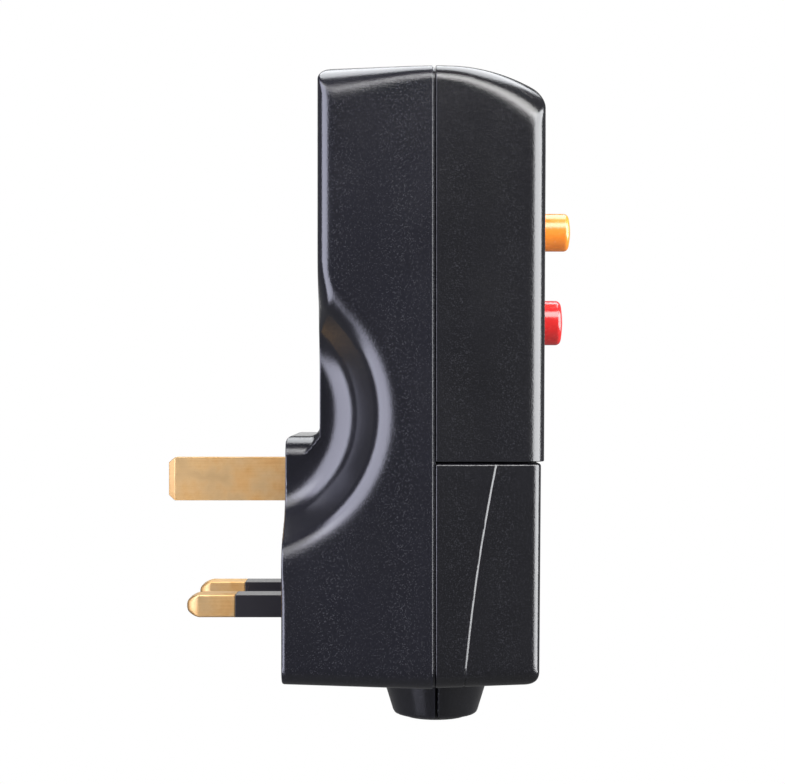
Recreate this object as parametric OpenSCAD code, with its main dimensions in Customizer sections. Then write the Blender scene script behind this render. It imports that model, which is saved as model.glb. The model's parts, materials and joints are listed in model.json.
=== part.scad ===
// Plug-in residual current device with a wiring compartment and a cable outlet at its foot.
// Millimetres. +X runs from the pin face to the front, +Z up, and Y across the case.
// The origin lies on the pin face, midway between the live and neutral pins.

/* [Case] */
// Width across the side faces
case_w = 62; // [58:0.5:72]
// Height of the top above the live and neutral pins
case_top = 94.4; // [93:0.2:104]
// Depth of the foot below the live and neutral pins
case_foot = 12.8; // [12.4:0.1:16]
// Pin face to the parting plane
rear_depth = 26.2; // [25.4:0.1:30]
// Parting plane to the front face above the wiring cover
front_depth = 19; // [18.6:0.1:24]
// Set-back of the wiring cover's face behind the front face
cover_step = 0.8; // [0.2:0.1:1.4]
// Set-back of the upper rear face from the pin face
rear_step = 6.2; // [4.5:0.1:7]
// Height of the ledge where the pin block ends
ledge_z = 30.6; // [29.5:0.1:32]
// Height of the seam between front housing and wiring cover
seam_z = 26.3; // [26:0.1:27.2]
// Width of the shadow gaps along the parting plane and the seam
shadow_gap = 0.4; // [0.2:0.05:0.6]
// Wall thickness of the mouldings
wall = 2.2; // [1.8:0.1:2.6]
// Radius of the case's outer edges
edge_r = 2.5; // [1:0.1:3]
// Rise of the top and foot from the parting plane to the rear corners
end_taper = 0.8; // [0.3:0.1:1.4]
// Radius of the crowned top on the front half
crown_r = 31.3; // [24:0.1:40]

/* [Finger scoops] */
// Depth of a scoop below the side face
scoop_depth = 15; // [11:0.5:16]
// Furthest reach of a scoop from the pin face
scoop_reach = 19.6; // [17:0.1:20]
// Height of a scoop's middle
scoop_z = 35.6; // [34.5:0.1:37]
// Radius of a scoop's rim at its furthest point
scoop_r = 19.4; // [16:0.1:20]
// Slope of a scoop's wall from the side face
scoop_slope = 65; // [55:1:75]
// Radius where a scoop rolls over into the side face
scoop_rim_r = 3.5; // [2:0.1:4.5]
// Radius where a scoop's wall runs into its floor
scoop_floor_r = 5; // [3:0.1:6]

/* [Pins] */
// Distance between the live and neutral pins
pin_pitch = 22.2; // [21.6:0.1:23]
// Height of the earth pin above the live and neutral pins
earth_z = 22.23; // [22:0.01:22.6]
// Length of the earth pin outside the case
earth_len = 22.73; // [20:0.01:25]
// Width of the earth pin
earth_w = 4; // [3.5:0.1:4.5]
// Height of the earth pin
earth_h = 8; // [7:0.1:8.6]
// Length of the live and neutral pins outside the case
pin_len = 18; // [16:0.1:20]
// Width of the live and neutral pins
pin_w = 6.35; // [5.8:0.05:7]
// Height of the live and neutral pins
pin_h = 4; // [3.6:0.1:4.4]
// Length of the insulating sleeves
sleeve_len = 9.2; // [7:0.1:11]
// Thickness of the insulating sleeves
sleeve_t = 0.6; // [0.4:0.1:0.9]

/* [Buttons] */
// Diameter of the reset button
reset_d = 8.3; // [7:0.1:9.5]
// Height of the reset button's axis
reset_z = 51.3; // [51:0.1:52]
// Stand of the reset button out of the front face
reset_out = 5.5; // [4:0.1:7]
// Travel of the reset button and the contact carrier
reset_travel = 3; // [2.4:0.1:3.2]
// Diameter of the test button
test_d = 6.9; // [5.5:0.1:8]
// Height of the test button's axis
test_z = 67.9; // [66.8:0.1:70]
// Stand of the test button out of the front face
test_out = 7; // [4:0.1:8]
// Travel of the test button
test_travel = 2; // [1.5:0.1:2.4]
// Radius on the buttons' front edges
button_edge_r = 0.9; // [0.4:0.1:1.2]
// Depth of the recess around the buttons
panel_recess = 0.6; // [0.3:0.1:0.9]

/* [Cable outlet] */
// Distance of the outlet's axis in front of the parting plane
outlet_offset = 0.8; // [0.4:0.1:1.2]
// Length of the outlet below the foot
outlet_len = 8.7; // [6:0.1:12]
// Radius of the outlet at its end
outlet_end_r = 7.7; // [7.4:0.1:8.4]
// Radius of the outlet at the foot
outlet_base_r = 10.4; // [9:0.1:11]
// Bore of the rubber bush
bush_bore_d = 9; // [7:0.1:9.6]
// Wall of the rubber bush
bush_wall = 1.4; // [1:0.1:1.6]

/* [Fuse and terminals] */
// Diameter of the cartridge fuse
fuse_d = 6.35; // [6:0.05:6.5]
// Length of the cartridge fuse
fuse_len = 25.4; // [24:0.1:25.8]
// Diameter of the terminal screws
terminal_screw_d = 3.5; // [3:0.1:4]
// Diameter of a terminal's wire hole
wire_hole_d = 3.4; // [2.6:0.1:3.6]
// Diameter of the case and cover screws
screw_d = 3; // [2.6:0.1:3.2]

/* [Hidden] */
$fn = 64;
// Clearances between fitted pieces
fit_gap = 0.05;
slide_gap = 0.06;
loose_gap = 0.2;
// Overlap of solids that are joined into one
join = 0.5;
// Reach of a cut beyond the surface that it opens
cut = 1;

half_w = case_w / 2;
front_x = rear_depth + front_depth;
cover_x = front_x - cover_step;
rear_end_x = rear_depth - shadow_gap / 2;
front_start_x = rear_depth + shadow_gap / 2;
inner_w = half_w - wall;
front_inner_x = front_x - wall;
cover_inner_x = cover_x - wall;

// Pin base and the plane that the current-carrying strips lie on
base_t = 3;
deck_x = scoop_reach + wall;
strip_t = 0.8;
strip_x = deck_x + strip_t;
strip_w = 3;
feed_y = 16.9;
feed_outset = 6;
feed_arm_w = 2.4;

// Rooms inside the rear housing, kept a wall's thickness away from the scoops
room_foot_z = -case_foot + end_taper + wall;
room_top_z = case_top - end_taper - wall;
waist_w = half_w - scoop_depth - wall;
scoop_low_z = scoop_z - sqrt(2 * scoop_r * scoop_reach) - wall;
scoop_high_z = scoop_z + sqrt(2 * scoop_r * (scoop_reach - rear_step)) + wall;
board_seat_w = 4.8;
rib_z = seam_z + shadow_gap / 2;
rib_top_z = rib_z + wall;

// Lip behind the shadow gap
lip_t = 1;
lip_out = 1.4;
lip_gap = 0.15;
lip_w = inner_w - lip_gap;

// Pins inside the case
flange_t = 1.5;
flange_w = 10;
flange_h = 5.2;
earth_flange_h = 13;
tail_w = 5;
tray_t = 1.8;
tray_rim = 1;
earth_head_w = 8;
earth_head_h = 8;
earth_head_drop = 1;
earth_head_z = earth_z - earth_head_drop;
earth_head_out = 7;
earth_head_x = strip_x + earth_head_out;
earth_flange_over = 2;
pin_chamfer = 1.6;
pin_nose = 1;
earth_chamfer = 1.2;

// Cable outlet and cord grip
outlet_x = rear_depth + outlet_offset;
bush_r = bush_bore_d / 2 + bush_wall;
bush_seat_r = bush_r + fit_gap;
bush_flange_over = 1.3;
bush_flange_r = bush_r + bush_flange_over;
bush_flange_t = 1.5;
bush_show = 0.5;
bush_base_z = room_foot_z + fit_gap;
grip_rise = 2.25;
grip_z = bush_base_z + bush_flange_t + grip_rise;
grip_w = 4;
grip_t = 3;
grip_screw_y = 10.5;
grip_pillar_r = 2.9;
grip_x = outlet_x + bush_bore_d / 2;
saddle_w = 13;
saddle_l = 3;
saddle_gap = 1;

// Screws
screw_r = screw_d / 2;
screw_bore_r = screw_r + fit_gap;
head_r = 2.8;
grip_head_r = 2.4;
head_t = 2.2;
slot_w = 0.9;
slot_d = 1;
pillar_r = 3.4;
cover_screw_z = 5.5;
cover_pillar_x = grip_x;
cover_head_sink = 3.4;
cover_head_x = cover_x - cover_head_sink;
cover_boss_r = head_r + 1.6;
cover_shank_len = 17;
upper_screw_inset = 9;
upper_screw_y = half_w - upper_screw_inset;
upper_screw_z = case_top - upper_screw_inset;
upper_head_depth = 4;
upper_bore_floor = 4;
upper_bore_end_x = front_inner_x - upper_bore_floor;
upper_tip_gap = 1.8;
upper_shank_len = upper_bore_end_x - upper_tip_gap - rear_step - upper_head_depth;
lower_screw_y = 22.5;
lower_screw_drop = 3.3;
lower_screw_z = seam_z - lower_screw_drop;
lower_shank_len = 12;
flange_plate_x = rear_depth + wall;
ear_margin = 3.2;
ear_in = 5;
flange_plate_z = lower_screw_z - ear_margin;

// Fuse, its clips and the output terminals
fuse_r = fuse_d / 2;
fuse_y = 21.8;
fuse_z = (room_foot_z + flange_plate_z) / 2;
cap_len = 6.3;
cap_t = 0.35;
tube_t = 0.95;
clip_t = 0.7;
clip_w = 5;
clip_gap = 0.03;
clip_open = 110;
clip_sink = 0.3;
fuse_x = strip_x - clip_sink + clip_t + clip_gap + fuse_r;
clip_base_w = 6;
clip_inset = 0.7;
terminal_y = 11.5;
terminal_w = 6.6;
terminal_h = 8;
terminal_z = 15;
terminal_t = 9;
terminal_x = deck_x + terminal_t;
terminal_bore_out = 4.2;
terminal_bore_x = deck_x + terminal_bore_out;
terminal_screw_r = terminal_screw_d / 2;
terminal_head_over = 0.9;
terminal_head_r = terminal_screw_r + terminal_head_over;
terminal_head_t = 2;
terminal_shank = 3;

// Contact block, holding magnet and contact carrier
block_t = 2.4;
block_x = deck_x + block_t;
block_side_gap = 2.2;
block_w = inner_w - block_side_gap;
block_under = 11.8;
block_above = 11.3;
block_low_z = reset_z - block_under;
block_high_z = reset_z + block_above;
armature_w = 5;
armature_h = 10.2;
armature_t = 1.5;
window_gap = 0.6;
pole_out = 0.3;
pole_x = deck_x + pole_out;
pole_gap = 0.1;
core_r = 3.5;
yoke_t = 1.5;
yoke_leg_z = 8.4;
yoke_back_x = rear_step + wall;
bobbin_t = 0.8;
bobbin_r = 7.9;
winding_r = 7.3;
armature_x = pole_x + pole_gap + reset_travel;
hub_w = 4;
hub_h = 4;
contact_y = 17;
contact_z = 5.3;
contact_r = 1.9;
contact_pad = 2;
contact_tab = 5;
strip_gap = 0.7;
fixed_tip_t = 0.7;
moving_tip_t = 0.9;
fixed_tip_x = block_x + strip_t + fixed_tip_t;
bridge_x = fixed_tip_x + fit_gap + reset_travel + moving_tip_t;
bridge_w = 4;
bridge_h = 14;
carrier_x = bridge_x + strip_t;
carrier_t = 3;
carrier_w = 20;
carrier_h = 16;
carrier_front_x = carrier_x + carrier_t;
post_y = 10.5;
post_r = 1.5;
guide_len = 2;
guide_r = 3.5;
spring_pocket_r = 2.75;
spring_pocket_d = 4.6;
spring_pocket_x = carrier_x + spring_pocket_d;
spring_r = 2.1;
spring_wire = 0.5;
spring_turns = 5.5;
post_end_x = spring_pocket_x + guide_len + reset_travel;

// Buttons inside the front housing
collar_gap = 0.1;
collar_t = 1.5;
collar_over = 1.4;
collar_x = front_inner_x - collar_gap - collar_t;
button_gap = 0.2;
stem_r = 2.1;
panel_w = 15;
panel_over = 2;
guide_tube_t = 1.2;
guide_tube_len = 5;

// Sensing transformer and the wires through it
sense_out = 6;
sense_x = outlet_x + sense_out;
core_out_r = 8.6;
core_in_r = 5;
core_h = 6.4;
coil_t = 0.7;
coil_arc = 300;
sense_z = rib_top_z + fit_gap + coil_t;
wire_r = 1.1;
wire_y = 1.6;
wire_lift = 1;
wire_lead = 6.5;
wire_drop = 0.6;
wire_dive = 1.6;
wire_exit = 0.9;
wire_bend = 3.5;
wire_tip_gap = 0.5;
terminal_bend = 4;
wire_slot_w = 10.8;
wire_slot_out = 4;
wire_slot_x = sense_x + wire_slot_out;

// Electronics
board_t = 1.6;
board_x = deck_x + board_t;
board_gap = 0.6;
board_low_z = block_high_z + board_gap;
board_high_z = room_top_z - board_gap;
board_w = lip_w - lip_t - board_gap;
leaf_t = 0.4;
leaf_w = 4;
leaf_stand = 7.4;
leaf_root_y = -7;
leaf_foot = 4;
leaf_tip_y = 2.5;
leaf_x = board_x + leaf_stand;
test_post_y = 0.8;
test_post_r = 1.3;
test_stop_gap = 0.1;
chip_t = 3.6;
chip_w = 6.4;
chip_l = 9.6;
chip_y = 9.2;
can_r = 4;
can_h = 11.5;
can_inset = 11.2;
can_y = can_inset - board_w;
film_h = 9;
film_w = 13;
film_t = 5;
varistor_r = 5;
varistor_t = 4;
varistor_inset = 8.2;
varistor_y = board_w - varistor_inset;
lead_t = 2.4;
lead_w = 5;
resistor_r = 1.2;
resistor_l = 6.5;
resistor_pitch = 3;
diode_r = 1.1;
diode_l = 4.4;
diode_row = 5.4;
diode_pitch = 2.6;
diode_y = 8;
thyristor_r = 2.4;
thyristor_h = 6;
thyristor_flat = 1.4;
thyristor_inset = 9.2;
thyristor_y = thyristor_inset - board_w;
// Height of the middle of the rows of parts above the test button
parts_rise = 7.8;
parts_z = test_z + parts_rise;

// Small helpers

function unit(v) = v / norm(v);

function turn(from, to) = let (d = (to - from + 540) % 360) d - 180;

// Points that round the corner b between a and c with radius r
function corner(a, b, c, r, steps) =
    r == 0 ? [b] :
    let (
        u = unit(a - b),
        v = unit(c - b),
        half = acos(max(-1, min(1, u * v))) / 2,
        centre = b + unit(u + v) * r / sin(half),
        start = b + u * r / tan(half) - centre,
        end = b + v * r / tan(half) - centre,
        first = atan2(start[1], start[0]),
        sweep = turn(first, atan2(end[1], end[0]))
    )
    [for (i = [0 : steps]) centre + r * [cos(first + sweep * i / steps), sin(first + sweep * i / steps)]];

// Outline through [x, z, radius] corners
function rounded(corners, steps = 4) =
    let (n = len(corners), p = [for (c = corners) [c[0], c[1]]])
    [for (i = [0 : n - 1]) each corner(p[(i + n - 1) % n], p[i], p[(i + 1) % n], corners[i][2], steps)];

module slab(x, y, z) {
    translate([x[0], y[0], z[0]]) cube([x[1] - x[0], y[1] - y[0], z[1] - z[0]]);
}

module rod(x0, x1, y, z, r) {
    translate([x0, y, z]) rotate([0, 90, 0]) cylinder(h = x1 - x0, r = r);
}

module both_sides() {
    children();
    mirror([0, 1, 0]) children();
}

// Extrudes an outline drawn in X and Z across the case
module across(half) {
    rotate([90, 0, 0]) linear_extrude(height = 2 * half, center = true) children();
}

// Convex body with the side view of outline and rounded side edges
module soft_block(outline, half, r) {
    hull() {
        for (a = [0, 30, 60, 90])
            across(half - r * (1 - sin(a))) offset(delta = -r * (1 - cos(a))) polygon(outline);
    }
}

// Screw along X with its slotted head's underside at x, driven towards way
module slotted_screw(x, y, z, r, shank, head, thick, way) {
    translate([x, y, z]) mirror([way < 0 ? 0 : 1, 0, 0]) {
        rod(-shank, join, 0, 0, r);
        difference() {
            rod(0, thick, 0, 0, head);
            slab([thick - slot_d, thick + cut], [-head - cut, head + cut], [-slot_w / 2, slot_w / 2]);
        }
    }
}

// Points with every corner cut once
function eased(p) = concat(
    [p[0]],
    [for (i = [0 : len(p) - 2]) each [p[i] * 0.75 + p[i + 1] * 0.25, p[i] * 0.25 + p[i + 1] * 0.75]],
    [p[len(p) - 1]]
);

// Round wire swept along a list of points
module wire(points, r) {
    sides = 10;
    last = len(points) - 1;
    aside = [0.3, 0.2, 0.93];
    function along(i) = unit(
        (i < last ? unit(points[i + 1] - points[i]) : [0, 0, 0])
        + (i > 0 ? unit(points[i] - points[i - 1]) : [0, 0, 0])
    );
    function ring_point(i, k) =
        let (t = along(i), n = unit(cross(t, aside)), b = cross(t, n), a = 360 * k / sides)
        points[i] + r * (cos(a) * n + sin(a) * b);
    skin = [
        for (i = [0 : last - 1]) for (k = [0 : sides - 1]) let (
            a = i * sides + k, b = i * sides + (k + 1) % sides
        ) each [[a, b + sides, b], [a, a + sides, b + sides]]
    ];
    ends = [
        [for (k = [0 : sides - 1]) k],
        [for (k = [sides - 1 : -1 : 0]) last * sides + k]
    ];
    polyhedron([for (i = [0 : last]) for (k = [0 : sides - 1]) ring_point(i, k)], concat(skin, ends));
}

// Compression spring along X as one swept tube
module coil_spring(x0, x1, y, z, r, wire_d, turns) {
    sides = 6;
    rings = ceil(turns * 12);
    lift = x1 - x0 - wire_d;
    function ring_point(i, k) =
        let (a = 360 * turns * i / rings, b = 360 * k / sides, q = r + wire_d / 2 * cos(b))
        [x0 + wire_d / 2 + lift * i / rings + wire_d / 2 * sin(b), y + q * cos(a), z + q * sin(a)];
    points = [for (i = [0 : rings]) for (k = [0 : sides - 1]) ring_point(i, k)];
    skin = [
        for (i = [0 : rings - 1]) for (k = [0 : sides - 1]) let (
            a = i * sides + k, b = i * sides + (k + 1) % sides
        ) each [[a, b, b + sides], [a, b + sides, a + sides]]
    ];
    ends = [
        [for (k = [sides - 1 : -1 : 0]) k],
        [for (k = [0 : sides - 1]) rings * sides + k]
    ];
    polyhedron(points, concat(skin, ends));
}

// Outlines of the case in side view

over = 6;
block_overlap = 12;
block_edge_r = edge_r * 0.6;
ledge_edge_r = edge_r * 0.5;
cover_edge_r = edge_r * 0.8;
rear_slope = end_taper / rear_depth;

upper_rear_outline = rounded([
    [rear_depth + over, ledge_z - block_overlap, 0],
    [rear_step, ledge_z - block_overlap, 0],
    [rear_step, case_top - end_taper, edge_r],
    [rear_depth + over, case_top + over * rear_slope, 0]
]);

pin_block_outline = rounded([
    [rear_depth + over, -case_foot - over * rear_slope, 0],
    [0, -case_foot + end_taper, block_edge_r],
    [0, ledge_z, ledge_edge_r],
    [rear_depth + over, ledge_z, 0]
]);

crown_start = 1.3;
crown_start_x = rear_depth + crown_start;
crown_angle = asin((front_x - crown_start_x) / crown_r);
crown_steps = 8;

function crown_point(a) = [crown_start_x + crown_r * sin(a), case_top - crown_r * (1 - cos(a)), 0];

front_outline = rounded(concat(
    [[rear_depth - over, seam_z - over, 0], [front_x, seam_z - over, 0]],
    [for (i = [0 : crown_steps]) let (p = crown_point(crown_angle * (1 - i / crown_steps)))
        [p[0], p[1], i == 0 ? edge_r : 0]],
    [[rear_depth - over, case_top, 0]]
));

cover_outline = rounded([
    [rear_depth - over, -case_foot, 0],
    [cover_x, -case_foot + end_taper, edge_r],
    [cover_x, seam_z + over, 0],
    [rear_depth - over, seam_z + over, 0]
]);

// Finger scoop, swept from parabolas that shrink as they go deeper

scoop_run = (scoop_depth - (scoop_rim_r + scoop_floor_r) * (1 - cos(scoop_slope))) / sin(scoop_slope);
scoop_levels = concat(
    [[-scoop_rim_r, -cut]],
    [for (a = [0 : scoop_slope / 4 : scoop_slope]) [scoop_rim_r * sin(a), scoop_rim_r * (1 - cos(a))]],
    [for (a = [scoop_slope : -scoop_slope / 4 : 0]) let (
        end = (scoop_rim_r + scoop_floor_r) * sin(scoop_slope) + scoop_run * cos(scoop_slope)
    ) [end - scoop_floor_r * sin(a), scoop_depth - scoop_floor_r * (1 - cos(a))]]
);
scoop_narrowing = 0.4;
scoop_steps = 18;
scoop_back_x = -2;

function scoop_radius(s) = scoop_r - scoop_narrowing * max(0, s);
function scoop_half(s) = sqrt(2 * scoop_radius(s) * (scoop_reach - s - scoop_back_x));
function scoop_point(s, q, i) =
    let (h = scoop_half(s) * (2 * i / scoop_steps - 1))
    [scoop_reach - s - h * h / (2 * scoop_radius(s)), half_w - q, scoop_z + h];

module finger_scoop() {
    n = scoop_steps + 1;
    levels = len(scoop_levels);
    points = [for (l = scoop_levels) for (i = [0 : scoop_steps]) scoop_point(l[0], l[1], i)];
    skin = [
        for (l = [0 : levels - 2]) for (i = [0 : n - 1]) let (
            a = l * n + i, b = l * n + (i + 1) % n
        ) each [[a, b + n, b], [a, a + n, b + n]]
    ];
    ends = [
        [for (i = [0 : n - 1]) i],
        [for (i = [n - 1 : -1 : 0]) (levels - 1) * n + i]
    ];
    polyhedron(points, concat(skin, ends));
}

// Case

module outlet_cone(z_top) {
    translate([outlet_x, 0, -case_foot - outlet_len]) {
        cylinder(h = outlet_len, r1 = outlet_end_r, r2 = outlet_base_r);
        translate([0, 0, outlet_len - fit_gap]) cylinder(h = z_top + case_foot + fit_gap, r = outlet_base_r);
    }
}

module outlet_half(x) {
    intersection() {
        outlet_cone(room_foot_z - join);
        slab(x, [-half_w, half_w], [-case_foot - outlet_len - cut, room_foot_z]);
    }
}

module outlet_bore() {
    translate([outlet_x, 0, -case_foot - outlet_len - cut])
        cylinder(h = outlet_len + case_foot + room_foot_z + cut + fit_gap, r = bush_seat_r);
}

module rear_shell() {
    difference() {
        intersection() {
            union() {
                soft_block(upper_rear_outline, half_w, edge_r);
                soft_block(pin_block_outline, half_w, block_edge_r);
            }
            slab([-cut, rear_end_x], [-half_w - cut, half_w + cut], [-case_foot - over, case_top + over]);
        }
        both_sides() finger_scoop();
        // Pin room, earth room, magnet room, board room, and the shallow room in front of them
        slab([base_t, rear_depth], [-inner_w, inner_w], [room_foot_z, scoop_low_z]);
        slab([base_t, rear_depth], [-waist_w, waist_w], [scoop_low_z - join, rib_z]);
        slab([yoke_back_x, rear_depth], [-waist_w, waist_w], [ledge_z, scoop_high_z + join]);
        slab([yoke_back_x, rear_depth], [board_seat_w - inner_w, inner_w - board_seat_w],
            [scoop_high_z, room_top_z]);
        slab([deck_x, rear_depth], [-inner_w, inner_w], [room_foot_z, rib_z]);
        slab([deck_x, rear_depth], [-inner_w, inner_w], [rib_top_z, room_top_z]);
    }
}

module lip_wall(y, z) {
    slab([rear_end_x - lip_out, rear_depth + lip_out], y, z);
}

// Tongue that stands behind the shadow gap on both sides and along the top
module parting_lip() {
    difference() {
        union() {
            both_sides() lip_wall([lip_w - lip_t, lip_w],
                [room_foot_z + bush_flange_t, room_top_z - lip_gap]);
            both_sides() slab([rear_end_x - lip_out, rear_end_x], [lip_w - lip_t, inner_w + join],
                [room_foot_z + bush_flange_t, room_top_z - lip_gap]);
            lip_wall([-lip_w, lip_w], [room_top_z - lip_gap - lip_t, room_top_z - lip_gap]);
            slab([rear_end_x - lip_out, rear_end_x], [-lip_w, lip_w],
                [room_top_z - lip_gap - lip_t, room_top_z + join]);
        }
        slab([rear_depth - over, rear_depth + over], [-half_w, half_w],
            [rib_z - lip_gap, rib_top_z + lip_gap]);
    }
}

module rear_housing() {
    color([0.06, 0.06, 0.07]) difference() {
        union() {
            rear_shell();
            parting_lip();
            both_sides() {
                rod(rear_step + join, rear_depth, upper_screw_y, upper_screw_z, pillar_r);
                rod(deck_x - join, rear_depth, lower_screw_y, lower_screw_z, pillar_r);
                rod(base_t - join, grip_x, grip_screw_y, grip_z, grip_pillar_r);
            }
            rod(base_t - join, cover_pillar_x, 0, cover_screw_z, pillar_r);
            slab([base_t - join, outlet_x - saddle_gap], [-saddle_w / 2, saddle_w / 2],
                [grip_z - saddle_l / 2, grip_z + saddle_l / 2]);
            outlet_half([outlet_x - outlet_base_r - cut, outlet_x - shadow_gap / 2]);
        }
        outlet_bore();
        // Cord groove in the saddle
        translate([outlet_x, 0, grip_z - saddle_l]) cylinder(h = 2 * saddle_l, r = bush_bore_d / 2);
        // Pin slots
        slab([-cut, base_t + cut], [-earth_w / 2 - fit_gap, earth_w / 2 + fit_gap],
            [earth_z - earth_h / 2 - fit_gap, earth_z + earth_h / 2 + fit_gap]);
        both_sides() slab([-cut, base_t + cut],
            [(pin_pitch - pin_w) / 2 - fit_gap, (pin_pitch + pin_w) / 2 + fit_gap],
            [-pin_h / 2 - fit_gap, pin_h / 2 + fit_gap]);
        both_sides() {
            // Upper screw holes with deep counterbores in the rear face
            rod(rear_step - cut, rear_step + upper_head_depth, upper_screw_y, upper_screw_z,
                head_r + loose_gap);
            rod(rear_step, rear_depth + cut, upper_screw_y, upper_screw_z, screw_bore_r);
            rod(flange_plate_x - lower_shank_len - cut, rear_depth + cut, lower_screw_y, lower_screw_z,
                screw_bore_r);
            rod(grip_x - lower_shank_len, grip_x + cut, grip_screw_y, grip_z, screw_bore_r);
            // Ways for the feed strips through the rib
            slab([deck_x, rear_depth + cut],
                [feed_y - strip_w / 2 - loose_gap, feed_y + strip_w / 2 + loose_gap],
                [rib_z - cut, rib_top_z + cut]);
        }
        rod(cover_head_x - cover_shank_len - cut, cover_pillar_x + cut, 0, cover_screw_z, screw_bore_r);
    }
}

module front_shell() {
    difference() {
        intersection() {
            soft_block(front_outline, half_w, edge_r);
            slab([front_start_x, front_x + cut], [-half_w - cut, half_w + cut], [rib_z, case_top + cut]);
        }
        intersection() {
            across(inner_w) offset(delta = -wall) polygon(front_outline);
            slab([rear_depth - over, front_x], [-half_w, half_w], [rib_top_z, case_top]);
        }
    }
}

module button_panel() {
    rotate([90, 0, 90]) linear_extrude(height = front_depth) {
        translate([-panel_w / 2, reset_z - panel_over]) square([panel_w, test_z - reset_z + 2 * panel_over]);
        translate([0, reset_z - panel_over]) circle(d = panel_w);
        translate([0, test_z + panel_over]) circle(d = panel_w);
    }
}

module button_guide(z, r) {
    difference() {
        rod(collar_x - guide_tube_len, front_inner_x + join, 0, z,
            r + collar_over + loose_gap + guide_tube_t);
        rod(collar_x - guide_tube_len - cut, front_inner_x + cut, 0, z, r + collar_over + loose_gap);
    }
}

module front_housing() {
    color([0.05, 0.05, 0.055]) difference() {
        union() {
            front_shell();
            button_guide(reset_z, reset_d / 2);
            button_guide(test_z, test_d / 2);
            both_sides() {
                rod(rear_depth, upper_bore_end_x + wall, upper_screw_y, upper_screw_z, pillar_r);
                // Ears under the wiring cover
                slab([rear_depth, flange_plate_x], [lower_screw_y - ear_in, lip_w - lip_t - lip_gap],
                    [flange_plate_z, rib_z]);
                slab([front_start_x, flange_plate_x], [lower_screw_y - ear_in, lip_w - lip_t - lip_gap],
                    [rib_z - cut, rib_top_z]);
            }
        }
        translate([front_x - panel_recess, 0, 0]) button_panel();
        rod(front_inner_x - cut, front_x + cut, 0, reset_z, reset_d / 2 + button_gap);
        rod(front_inner_x - cut, front_x + cut, 0, test_z, test_d / 2 + button_gap);
        both_sides() {
            rod(rear_depth - cut, upper_bore_end_x, upper_screw_y, upper_screw_z, screw_bore_r);
            rod(rear_depth - cut, flange_plate_x + cut, lower_screw_y, lower_screw_z, screw_bore_r);
        }
        // Way for the output wires
        slab([rear_depth - cut, wire_slot_x], [-wire_slot_w / 2, wire_slot_w / 2],
            [rib_z - cut, rib_top_z + cut]);
    }
}

// Wedge in front of the slanting line on the wiring cover's sides
crease_top = 10.6;
crease_foot = 5.2;
cover_crease_top_x = rear_depth + crease_top;
cover_crease_foot_x = rear_depth + crease_foot;
cover_crease_bow = 0.6;
cover_crease_step = 0.4;
crease_steps = 8;

function crease_point(t) = [
    cover_crease_foot_x + (cover_crease_top_x - cover_crease_foot_x) * t - 4 * cover_crease_bow * t * (1 - t),
    -case_foot + (seam_z + case_foot) * t
];

module crease_wedge() {
    translate([0, half_w - cover_crease_step, 0]) rotate([90, 0, 0]) mirror([0, 0, 1])
        linear_extrude(height = cover_crease_step + cut) polygon(concat(
            [for (i = [0 : crease_steps]) crease_point(i / crease_steps)],
            [crease_point(1) + [0, over], [cover_x + over, seam_z + over]],
            [[cover_x + over, -case_foot - over], crease_point(0) - [0, over]]
        ));
}

module wiring_cover() {
    cover_top_z = seam_z - shadow_gap / 2;
    color([0.05, 0.05, 0.055]) difference() {
        union() {
            difference() {
                intersection() {
                    soft_block(cover_outline, half_w, cover_edge_r);
                    slab([front_start_x, cover_x + cut], [-half_w - cut, half_w + cut],
                        [-case_foot - cut, cover_top_z]);
                }
                both_sides() crease_wedge();
                intersection() {
                    across(inner_w) offset(delta = -wall) polygon(cover_outline);
                    slab([rear_depth - over, cover_x], [-half_w, half_w], [room_foot_z, seam_z + over]);
                }
            }
            rod(cover_pillar_x + fit_gap, cover_inner_x + join, 0, cover_screw_z, cover_boss_r);
            outlet_half([outlet_x + shadow_gap / 2, outlet_x + outlet_base_r + cut]);
        }
        outlet_bore();
        // Step around the rear half of the outlet
        slab([rear_depth - cut, outlet_x + shadow_gap / 2],
            [-outlet_base_r - shadow_gap, outlet_base_r + shadow_gap], [-case_foot - over, room_foot_z]);
        rod(cover_pillar_x - cut, cover_head_x + cut, 0, cover_screw_z, screw_bore_r);
        rod(cover_head_x, cover_x + cut, 0, cover_screw_z, head_r + loose_gap);
    }
}

module cable_bush() {
    color([0.03, 0.03, 0.03]) translate([outlet_x, 0, 0]) difference() {
        union() {
            translate([0, 0, -case_foot - outlet_len - bush_show])
                cylinder(h = bush_base_z + case_foot + outlet_len + bush_show + join, r = bush_r);
            translate([0, 0, bush_base_z]) cylinder(h = bush_flange_t, r = bush_flange_r);
        }
        translate([0, 0, -case_foot - outlet_len - bush_show - cut])
            cylinder(h = 2 * outlet_len + 2 * case_foot, r = bush_bore_d / 2);
    }
}

// Pins

// Rectangular pin from x0 to its bevelled nose at -length
module pin_blade(length, x0, w, h, bevel, nose) {
    hull() {
        slab([bevel - length, x0], [-w / 2, w / 2], [-h / 2, h / 2]);
        slab([-length, x0], [nose - w / 2, w / 2 - nose], [nose - h / 2, h / 2 - nose]);
    }
}

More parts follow.
